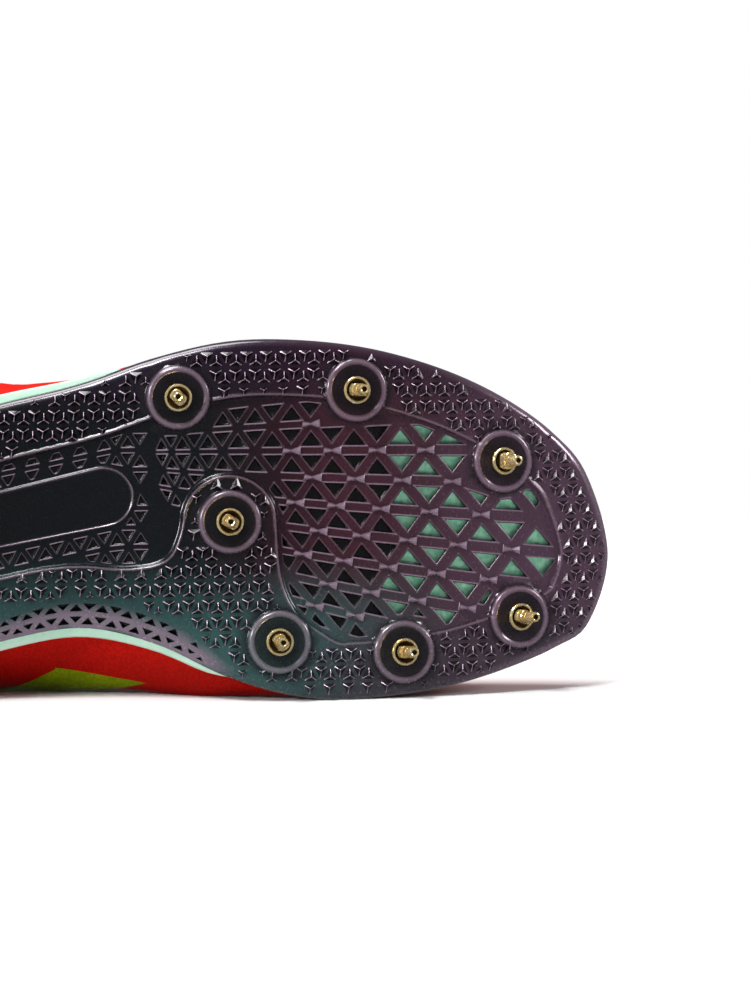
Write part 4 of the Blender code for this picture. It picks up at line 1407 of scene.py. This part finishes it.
def build_insole():
    """Thin foot bed on the foam."""
    rings = []
    for inward, lift in INSOLE_RINGS:
        rings.append(offset_ring(lambda p, s: -inward, lambda p, s: foot_of(p, s) + lift))
    low, high = INSOLE_RINGS[0][1], INSOLE_RINGS[-1][1]
    verts, faces = stack(rings, lambda x, w: under(x) + foam_top(x) + low,
                         lambda x, w: under(x) + foam_top(x) + high)
    obj = mesh_object("insole_bed", verts, faces, LINING, 50.0)
    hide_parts("insole")


build_foam()
build_insole()


# Upper
def opening(side, share):
    """Point of the upper's top edge, round collar and throat."""
    x = curve(share, UPPER, 1) * LENGTH
    half = curve(share, UPPER, 2)
    first, last = UPPER[1], UPPER[-2]
    if share < first[0]:
        half = first[2] * math.sqrt(max(0.0, 1.0 - (1.0 - share / first[0]) ** 2))
    if share > last[0]:
        half = last[2] * math.sqrt(max(0.0, 1.0 - ((share - last[0]) / (1.0 - last[0])) ** 2))
    return Vector((x, curve(x / LENGTH, AXIS, 1) + side * half, curve(share, UPPER, 3)))


def upper_base(side, share):
    """Point of the upper's lower edge and the direction outward there."""
    point, out = edge(side, share)
    shelf = shelf_of(point, side)
    amount = lerp(-0.6, edge_value(point.x, side, 3) - 0.8, shelf)
    rise = rise_of(point, side)
    height = rise + lerp(GAP + 0.3, band_of(point, side) + GAP, shelf) + 0.7 * math.sin(math.pi * shelf)
    spot = point + out * amount
    return Vector((spot.x, spot.y, under(spot.x) + height)), Vector((out.x, out.y, 0.0))


@functools.lru_cache(maxsize=None)
def controls(side, share):
    """Four points of the curve that the upper follows from its lower to its top edge."""
    foot, out = upper_base(side, share)
    head = opening(side, share)
    low = foot + out * curve(share, UPPER, 4 if side > 0 else 5) + Vector((0, 0, curve(share, UPPER, 6)))
    high = head + out * curve(share, UPPER, 7) - Vector((0, 0, curve(share, UPPER, 8)))
    return foot, low, high, head


def upper_point(side, share, t):
    """Point of the upper at height share t, before its relief."""
    foot, low, high, head = controls(side, share)
    s = 1.0 - t
    return foot * s ** 3 + low * 3 * s * s * t + high * 3 * s * t * t + head * t ** 3


def upper_normal(side, share, t):
    """Direction outward from the upper."""
    d = 0.004
    share = min(max(share, d * 1.01), 1.0 - d * 1.01)
    across = upper_point(side, share + d, t) - upper_point(side, share - d, t)
    rise = upper_point(side, share, min(t + d, 1.0)) - upper_point(side, share, max(t - d, 0.0))
    return across.cross(rise).normalized() * -side


# Height shares of the upper's rows, closer at the eyestay's step
ROWS = np.concatenate([
    np.linspace(0.0, 0.77, 40 if FINE else 20), [0.781, 0.79, 0.80], np.linspace(0.815, 1.0, 10)])


def upper_grid():
    """Points of the upper's outside and their normals."""
    control = np.array([[tuple(c) for c in controls(s, u)] for s, u, p, o in RING])
    t = ROWS[None, :, None]
    s = 1.0 - t
    grid = (control[:, None, 0] * s ** 3 + control[:, None, 1] * 3 * s * s * t
            + control[:, None, 2] * 3 * s * t * t + control[:, None, 3] * t ** 3)
    across = np.roll(grid, -1, axis=0) - np.roll(grid, 1, axis=0)
    rise = np.gradient(grid, axis=1)
    normal = np.cross(across, rise)
    normal /= np.linalg.norm(normal, axis=2)[..., None]
    middle = grid.mean(axis=(0, 1))
    if ((grid - middle) * normal).sum() < 0:
        normal = -normal
    return grid, normal


GRID, NORMAL = upper_grid()
SHARES = np.array([u for s, u, p, o in RING])
SIDES = np.array([s for s, u, p, o in RING])


# Bulge of the lateral side panel and depth of the groove under it
SIDE_PANEL = 2.8
SIDE_GROOVE = 1.5

# Folds across the forefoot: place along, lean, depth, width
TOE_FOLDS = ((196.0, 0.10, 0.50, 2.6), (206.0, -0.05, 0.42, 3.0), (217.0, 0.08, 0.30, 3.4))
# Folds of the waist: place along, height, lean, depth, width
WAIST_FOLDS = ((138.0, 30.0, 0.5, 0.35, 3.0), (112.0, 26.0, -0.35, 0.3, 3.2))


def fold_relief(x, w, h):
    """Soft folds where the shoe bends."""
    folds = np.zeros_like(x)
    high = smooth((h - 22.0) / 12.0)
    for place_at, lean, depth, width in TOE_FOLDS:
        line = x - place_at - lean * (w + 5.0)
        folds -= depth * bell(line, width) * high
        folds += 0.6 * depth * bell(line - 2.2 * width, width) * high
    for place_at, height, lean, depth, width in WAIST_FOLDS:
        line = (h - height) - lean * (x - place_at)
        folds -= depth * bell(line, width) * bell(x - place_at, 18.0)
    return folds


def panel_relief(t, x, w):
    """Lateral side panel of the waist, with the groove under it at the upper's widest line."""
    reach_out = np.where(ROWS[None, :] < 0.7, w * SIDES[:, None], -99.0)
    widest = ROWS[np.argmax(reach_out, axis=1)][:, None]
    reach = smooth((132.0 - x) / 26.0) * smooth((x - 14.0) / 20.0) * (SIDES[:, None] > 0)
    panel = SIDE_PANEL * smooth((t - widest - 0.015) / 0.05) * smooth((0.75 - t) / 0.12)
    return (panel - SIDE_GROOVE * bell(t - widest, 0.022)) * reach


def upper_relief():
    """Outward offset of every grid point: eyestay step, collar padding, folds and side panel."""
    t = np.broadcast_to(ROWS[None, :], GRID.shape[:2])
    share = np.broadcast_to(SHARES[:, None], t.shape)
    x, w, h = GRID[..., 0], GRID[..., 1], GRID[..., 2]
    stay = STAY * smooth((t - 0.781) / 0.02) * smooth((share - 0.345) / 0.012)
    collar = 1.3 * bell(t - 0.90, 0.07) * smooth((0.40 - share) / 0.05)
    return stay + collar + fold_relief(x, w, h) * smooth(t / 0.15) + panel_relief(t, x, w)


RELIEF = upper_relief()


# Where the eyestay starts, as share of the edge and height share
STAY_START = 0.35
STAY_LOW = 0.79


def build_upper():
    """Hollow upper: outside in red, eyestay in coated red, inside in dark lining."""
    outer = GRID + NORMAL * RELIEF[..., None]
    inner = GRID - NORMAL * WALL
    up = np.gradient(GRID, axis=1)[:, -1]
    up /= np.linalg.norm(up, axis=1)[:, None]
    lip = GRID[:, -1] + NORMAL[:, -1] * (RELIEF[:, -1:] - WALL) / 2.0 + up * 0.5
    columns = len(ROWS)
    verts = [tuple(q) for part in (outer.reshape(-1, 3), inner.reshape(-1, 3), lip) for q in part]
    inside = COUNT * columns
    lip_start = 2 * inside
    top = columns - 1
    faces, marks = [], []
    for i in range(COUNT):
        j = (i + 1) % COUNT
        a, b = i * columns, j * columns
        stay = SHARES[i] > STAY_START and SHARES[j] > STAY_START
        for c in range(top):
            faces.append((a + c, b + c, b + c + 1, a + c + 1))
            faces.append((inside + a + c, inside + a + c + 1, inside + b + c + 1, inside + b + c))
            marks += [int(stay and ROWS[c] >= STAY_LOW), 2]
        faces.append((a + top, b + top, lip_start + j, lip_start + i))
        faces.append((lip_start + i, lip_start + j, inside + b + top, inside + a + top))
        faces.append((a, inside + a, inside + b, b))
        marks += [int(SHARES[i] > STAY_START), 2, 0]
    obj = mesh_object("upper_shell", verts, faces, RED, 45.0)
    obj.data.materials.append(RED_STAY)
    obj.data.materials.append(LINING)
    obj.data.polygons.foreach_set("material_index", marks)
    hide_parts("upper")


build_upper()


FINISHED = GRID + NORMAL * RELIEF[..., None]
PLACES = {side: np.nonzero((SIDES == side) | (SHARES == 0.0) | (SHARES == 1.0))[0] for side in (1, -1)}


def skin(side, share, t, lift=0.0):
    """Point on the upper's finished surface, lifted off it."""
    order = PLACES[side][np.argsort(SHARES[PLACES[side]])]
    i = np.interp(share, SHARES[order], np.arange(len(order)))
    k = np.interp(t, ROWS, np.arange(len(ROWS)))
    a, b = min(int(i), len(order) - 2), min(int(k), len(ROWS) - 2)
    f, g = i - a, k - b
    total = np.zeros(3)
    for di, wi in ((0, 1 - f), (1, f)):
        for dk, wk in ((0, 1 - g), (1, g)):
            total = total + wi * wk * (FINISHED[order[a + di], b + dk] + NORMAL[order[a + di], b + dk] * lift)
    return Vector(total)


def patch(name, corners, thick, material, columns=24, rows=8):
    """Bonded film on the upper: corners as (share, t), lower front, lower back, upper back, upper front."""
    side, (a, b, c, d) = corners
    verts, faces = [], []
    for i in range(columns + 1):
        u = i / columns
        for j in range(rows + 1):
            v = j / rows
            low = (lerp(a[0], b[0], u), lerp(a[1], b[1], u))
            high = (lerp(d[0], c[0], u), lerp(d[1], c[1], u))
            edge_here = i in (0, columns) or j in (0, rows)
            verts.append(tuple(skin(side, lerp(low[0], high[0], v), lerp(low[1], high[1], v),
                                    0.02 if edge_here else thick)))
    for i in range(columns):
        for j in range(rows):
            k = i * (rows + 1) + j
            faces.append((k, k + 1, k + rows + 2, k + rows + 1))
    obj = mesh_object(name, verts, faces, material, 60.0)


def cord(verts, faces, path, radius, sides, flat):
    """Adds a closed bar along a path of (point, normal) pairs."""
    start = len(verts)
    for n, (p, normal) in enumerate(path):
        tangent = (path[min(n + 1, len(path) - 1)][0] - path[max(n - 1, 0)][0]).normalized()
        wide = tangent.cross(normal).normalized()
        for a in turn_angles(sides):
            verts.append(tuple(p + wide * (radius * math.cos(a)) + normal * (radius * flat * math.sin(a))))
    for k in range(len(path) - 1):
        faces += ring_faces(start + k * sides, start + (k + 1) * sides, sides)
    faces.append(tuple(start + i for i in range(sides)))
    faces.append(tuple(len(verts) - 1 - i for i in range(sides)))


def normal_at(side, share, t):
    return (skin(side, share, t, 1.0) - skin(side, share, t, 0.0)).normalized()


def stitch_row(verts, faces, side, spots, pitch=2.3, length=1.5, lift=0.12):
    """Short threads laid end to end along (share, t) spots."""
    line = [skin(side, u, t) for u, t in spots]
    travelled = [0.0]
    for p, q in zip(line, line[1:]):
        travelled.append(travelled[-1] + (q - p).length)
    count = int(travelled[-1] / pitch)
    shares = [u for u, t in spots]
    heights = [t for u, t in spots]
    for n in range(count):
        path = []
        for part in (0.0, 0.5, 1.0):
            d = n * pitch + part * length
            u, t = float(np.interp(d, travelled, shares)), float(np.interp(d, travelled, heights))
            path.append((skin(side, u, t, lift if part == 0.5 else 0.0), normal_at(side, u, t)))
        cord(verts, faces, path, 0.28, 5, 0.8)


def trim(name, verts, faces, material):
    """Small piece on the upper."""
    mesh_object(name, verts, faces, material)


def disc(verts, middle, first, second, radius, count):
    """Add the points of a circle."""
    for a in turn_angles(count):
        verts.append(tuple(middle + (first * math.cos(a) + second * math.sin(a)) * radius))


def spots_between(first, last, count):
    """Spots as (share, t) on a straight line between two."""
    return [(lerp(first[0], last[0], v), lerp(first[1], last[1], v)) for v in np.linspace(0.0, 1.0, count)]


# Seams on each side: first and last spot as (share, t), and how finely they are followed
SEAMS = (
    ((0.37, 0.815), (0.86, 0.815), 60),
    ((0.37, 0.835), (0.86, 0.835), 60),
    ((0.02, 0.955), (0.33, 0.955), 40),
    ((0.335, 0.16), (0.30, 0.90), 30),
    ((0.115, 0.10), (0.075, 0.86), 30),
)


def build_stitches():
    """Seams of the eyestay, collar, waist and heel."""
    verts, faces = [], []
    for side in (1, -1):
        for first, last, count in SEAMS:
            stitch_row(verts, faces, side, spots_between(first, last, count))
    trim("stitches", verts, faces, THREAD)


# Lace bars from the collar forward, the empty top eyelet, and the height share of the eyelets
LACE_SHARES = (0.46, 0.53, 0.60, 0.67, 0.74)
TOP_EYELET = 0.395
EYELET_T = 0.885
# Eyelet from its outer foot to its bore: radius and height
EYELET = ((3.1, -0.05), (2.9, 0.40), (2.3, 0.50), (1.7, 0.30), (1.6, -0.3))
EYELET_TURNS = 24


def build_eyelets():
    """Metal eyelets of the lace bars and the empty top ones."""
    verts, faces = [], []
    for side in (1, -1):
        for share in LACE_SHARES + (TOP_EYELET,):
            middle = skin(side, share, EYELET_T)
            normal = normal_at(side, share, EYELET_T)
            first = (skin(side, share + 0.01, EYELET_T) - skin(side, share - 0.01, EYELET_T)).normalized()
            second = normal.cross(first)
            start = len(verts)
            for radius, out in EYELET:
                disc(verts, middle + normal * out, first, second, radius, EYELET_TURNS)
            last = start + (len(EYELET) - 1) * EYELET_TURNS
            for k in range(start, last, EYELET_TURNS):
                faces += ring_faces(k, k + EYELET_TURNS, EYELET_TURNS)
            faces.append(tuple(range(last, last + EYELET_TURNS)))
    trim("eyelets", verts, faces, METAL)


# Pinholes: first share and pitch along, last share, rows, and the lowest row on the medial side
HOLES_FROM = 0.60
HOLES_PITCH = 0.0135
HOLES_TO = 0.92
HOLES_ROWS = np.linspace(0.50, 0.74, 9)
HOLES_MEDIAL = 0.56
HOLE_RADIUS = 0.55


def build_pinholes():
    """Rows of small holes over the forefoot, drawn as near-black discs: painted shade in place of openings."""
    verts, faces = [], []
    for side in (1, -1):
        for row, t in enumerate(HOLES_ROWS):
            for n in range(24):
                share = HOLES_FROM + HOLES_PITCH * n + (0.0068 if row % 2 else 0.0)
                if share > HOLES_TO or (side < 0 and t < HOLES_MEDIAL):
                    continue
                normal = normal_at(side, share, t)
                first = normal.orthogonal().normalized()
                start = len(verts)
                disc(verts, skin(side, share, t, 0.06), first, normal.cross(first), HOLE_RADIUS, 8)
                faces.append(tuple(range(start, start + 8)))
    trim("pinholes", verts, faces, HOLE)


# Films on the upper by their corners as (share, t)
ACCENT = ((0.565, 0.19), (0.465, 0.15), (0.40, 0.55), (0.535, 0.55))
HEEL_FILM = ((0.12, 0.06), (0.005, 0.06), (0.005, 0.70), (0.08, 0.70))


def build_films():
    """Heel films and the accent bar."""
    for side, name in ((1, "lateral"), (-1, "medial")):
        patch("heel_film_%s" % name, (side, HEEL_FILM), 0.45, RED_STAY)
    patch("accent_bar_medial", (-1, ACCENT), 0.22, VOLT, 48, 10)


def build_bindings():
    """Tape up the back of the heel and rolled binding round the collar."""
    verts, faces = [], []
    path = [(skin(1, 0.0, t, 0.3), normal_at(1, 0.0, t)) for t in np.linspace(0.03, 0.93, 40)]
    cord(verts, faces, path, 2.4, 10, 0.35)
    trim("heel_tape", verts, faces, RED_STAY)
    verts, faces = [], []
    for side in (1, -1):
        path = [(skin(side, u, 1.0, -0.1), normal_at(side, u, 1.0)) for u in np.linspace(0.0, 0.40, 70)]
        cord(verts, faces, path, 1.15, 10, 1.0)
    trim("collar_binding", verts, faces, RED_STAY)


build_stitches()
build_eyelets()
build_pinholes()
build_films()
build_bindings()


# Tongue and laces
def across_throat(share, heights, out, lift):
    """Points across the throat: out from the upper's surface at both sides, and lifted in the middle."""
    sides = {s: [upper_point(s, share, t) + upper_normal(s, share, t) * out for t in heights] for s in (1, -1)}
    middle = (opening(1, share) + opening(-1, share)) * 0.5 + Vector((0, 0, lift))
    return sides[1] + [middle] + sides[-1][::-1]


def sheet(name, rows, thick, material):
    """Padded sheet between rows of points and the same rows moved inward."""
    rows = np.array([[tuple(p) for p in row] for row in rows])
    normal = np.cross(np.gradient(rows, axis=0), np.gradient(rows, axis=1))
    normal /= np.linalg.norm(normal, axis=2)[..., None]
    if normal[..., 2].mean() > 0:
        normal = -normal
    r, c = rows.shape[:2]
    u = np.linspace(-1, 1, c)[None, :]
    v = np.linspace(-1, 1, r)[:, None]
    puff = thick * (0.35 + 0.65 * np.sqrt(np.clip(1 - u ** 8, 0, 1)) * np.sqrt(np.clip(1 - v ** 12, 0, 1)))
    low = rows + normal * puff[..., None]
    verts = [tuple(q) for part in (rows, low) for q in part.reshape(-1, 3)]
    faces = []
    shift = r * c
    for i in range(r - 1):
        for j in range(c - 1):
            k = i * c + j
            faces.append((k, k + 1, k + c + 1, k + c))
            faces.append((shift + k, shift + k + c, shift + k + c + 1, shift + k + 1))
    rim = [j for j in range(c)] + [i * c + c - 1 for i in range(1, r)]
    rim += [(r - 1) * c + j for j in range(c - 2, -1, -1)] + [i * c for i in range(r - 2, 0, -1)]
    for a, b in zip(rim, rim[1:] + rim[:1]):
        faces.append((a, b, shift + b, shift + a))
    return mesh_object(name, verts, faces, material, 45.0)


# Tongue under the throat: places along it, then its free end as steps of width, way back and rise
TONGUE_SHARES = (0.90, 0.87, 0.84, 0.81, 0.78, 0.745, 0.71, 0.675, 0.64, 0.605, 0.57, 0.535, 0.50)
TONGUE_END = ((0.62, -12.0, 4.5), (0.97, -12.0, 8.5), (0.93, -7.5, 8.5), (0.78, -1.5, 1.7))
TONGUE_THICK = 2.4


def build_tongue():
    """Padded tongue with a rounded free end over the collar."""
    rows = []
    for share in TONGUE_SHARES:
        rows.append(spline(across_throat(share, (0.80, 0.90, 1.0), -WALL - 1.1, -1.6), False, 4))
    for width, back, rise in TONGUE_END:
        last = rows[-1]
        middle = last[len(last) // 2]
        rows.append([middle + (p - middle) * width + Vector((back, 0.0, rise)) for p in last])
    fine = [spline(list(column), False, 3) for column in zip(*rows)]
    obj = sheet("tongue_pad", list(zip(*fine)), TONGUE_THICK, TONGUE)
    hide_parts("tongue")


# Section of a lace bar: half width, half thickness and points
LACE_WIDE = 3.0
LACE_THIN = 0.62
LACE_TURNS = 16


def build_laces():
    """Flat lace bars across the throat, each a little higher the nearer it is to the collar."""
    profile = [(LACE_WIDE * math.cos(a), LACE_THIN * math.sin(a)) for a in turn_angles(LACE_TURNS)]
    for number, share in enumerate(LACE_SHARES, start=1):
        lift = lerp(1.8, 1.0, (share - LACE_SHARES[0]) / (LACE_SHARES[-1] - LACE_SHARES[0]))
        path = spline(across_throat(share, (0.87, 0.93, 0.99), STAY + lift, 3.0), False, 6)
        forward = opening(1, min(share + 0.03, 1.0)) - opening(1, share - 0.03)
        verts, faces = [], []
        for i, p in enumerate(path):
            tangent = (path[min(i + 1, len(path) - 1)] - path[max(i - 1, 0)]).normalized()
            wide = (forward - tangent * forward.dot(tangent)).normalized()
            thin = tangent.cross(wide).normalized()
            verts += [tuple(p + wide * a + thin * b) for a, b in profile]
        last = len(verts) - LACE_TURNS
        for k in range(0, last, LACE_TURNS):
            faces += ring_faces(k, k + LACE_TURNS, LACE_TURNS)
        faces.append(tuple(range(LACE_TURNS)))
        faces.append(tuple(range(last, last + LACE_TURNS)))
        obj = mesh_object("lace_%d" % number, verts, faces, TAPE, 50.0)
        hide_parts("lace_bar_%d" % number)


build_tongue()
build_laces()


# Floor, light and camera
FLOOR_RADIUS = 0.62
LIGHTS_AIM = Vector((0.03, 0.0, 0.04))
LIGHTS = (
    # name, kind, place, size or angle, power
    ("sky", "SUN", (-0.25, 0.26, 1.00), math.radians(40.0), 3.1),
    ("strip_high", "AREA", (-0.35, -0.45, 1.00), 0.30, 11.0),
    ("strip_side", "AREA", (-1.10, -0.60, 0.45), 0.25, 9.0),
    ("strip_toe", "AREA", (1.20, -0.10, 0.50), 0.30, 5.0),
)


def build_floor():
    """White disc that the gloss of the plate doesn't mirror."""
    bm = bmesh.new()
    bmesh.ops.create_circle(bm, cap_ends=True, segments=96, radius=FLOOR_RADIUS)
    data = bpy.data.meshes.new("floor")
    bm.to_mesh(data)
    bm.free()
    floor = bpy.data.objects.new("floor", data)
    bpy.context.scene.collection.objects.link(floor)
    white = Graph("floor_white", (0.95, 0.95, 0.95), 0.6)
    white.shade("Specular IOR Level", 0.1)
    data.materials.append(white.material)
    floor.visible_glossy = False


def build_world():
    """White behind the shoe, and faint cool light from all around."""
    world = bpy.data.worlds.new("studio")
    world.use_nodes = True
    nodes, links = world.node_tree.nodes, world.node_tree.links
    seen = nodes["Background"]
    seen.inputs["Color"].default_value = (1.0, 1.0, 1.0, 1.0)
    lighting = nodes.new("ShaderNodeBackground")
    lighting.inputs["Color"].default_value = (0.92, 0.95, 1.0, 1.0)
    lighting.inputs["Strength"].default_value = 0.16
    path = nodes.new("ShaderNodeLightPath")
    both = nodes.new("ShaderNodeMixShader")
    links.new(path.outputs["Is Camera Ray"], both.inputs[0])
    links.new(lighting.outputs[0], both.inputs[1])
    links.new(seen.outputs[0], both.inputs[2])
    links.new(both.outputs[0], nodes["World Output"].inputs["Surface"])
    bpy.context.scene.world = world


def build_lights():
    """Soft sun and three strips that draw the gloss."""
    for name, kind, place_at, size, power in LIGHTS:
        light = bpy.data.lights.new(name, kind)
        light.energy = power
        setattr(light, "angle" if kind == "SUN" else "size", size)
        lamp = bpy.data.objects.new(name, light)
        bpy.context.scene.collection.objects.link(lamp)
        lamp.location = place_at
        lamp.rotation_mode = "QUATERNION"
        lamp.rotation_quaternion = (LIGHTS_AIM - Vector(place_at)).to_track_quat("-Z", "Y")


# Camera: turn and height of the view, distance in metres, and the picture's scale at the target
YAW = math.radians(8.0)
TILT = math.radians(4.3)
DISTANCE = 1.30
SENSOR = 36.0
PIXELS_PER_MM = 3.7
PICTURE_HEIGHT = 1000.0
TARGET_X = 220.2
TARGET_W = 5.4


def build_camera():
    """Camera at the photo's angle, aimed at the forefoot."""
    data = bpy.data.cameras.new("camera")
    camera = bpy.data.objects.new("camera", data)
    bpy.context.scene.collection.objects.link(camera)
    bpy.context.scene.camera = camera
    data.sensor_width = SENSOR
    data.lens = SENSOR * DISTANCE * 1000.0 * PIXELS_PER_MM / PICTURE_HEIGHT
    data.clip_start = 0.05
    data.clip_end = 30.0
    target = Vector(place([(TARGET_X, TARGET_W, under(TARGET_X))])[0])
    back = Vector((-math.sin(YAW) * math.cos(TILT), -math.cos(YAW) * math.cos(TILT), math.sin(TILT)))
    camera.location = target + back * DISTANCE
    camera.rotation_mode = "QUATERNION"
    camera.rotation_quaternion = (-back).to_track_quat("-Z", "Y")


build_floor()
build_world()
build_lights()
build_camera()
bpy.context.scene.view_settings.view_transform = "Standard"
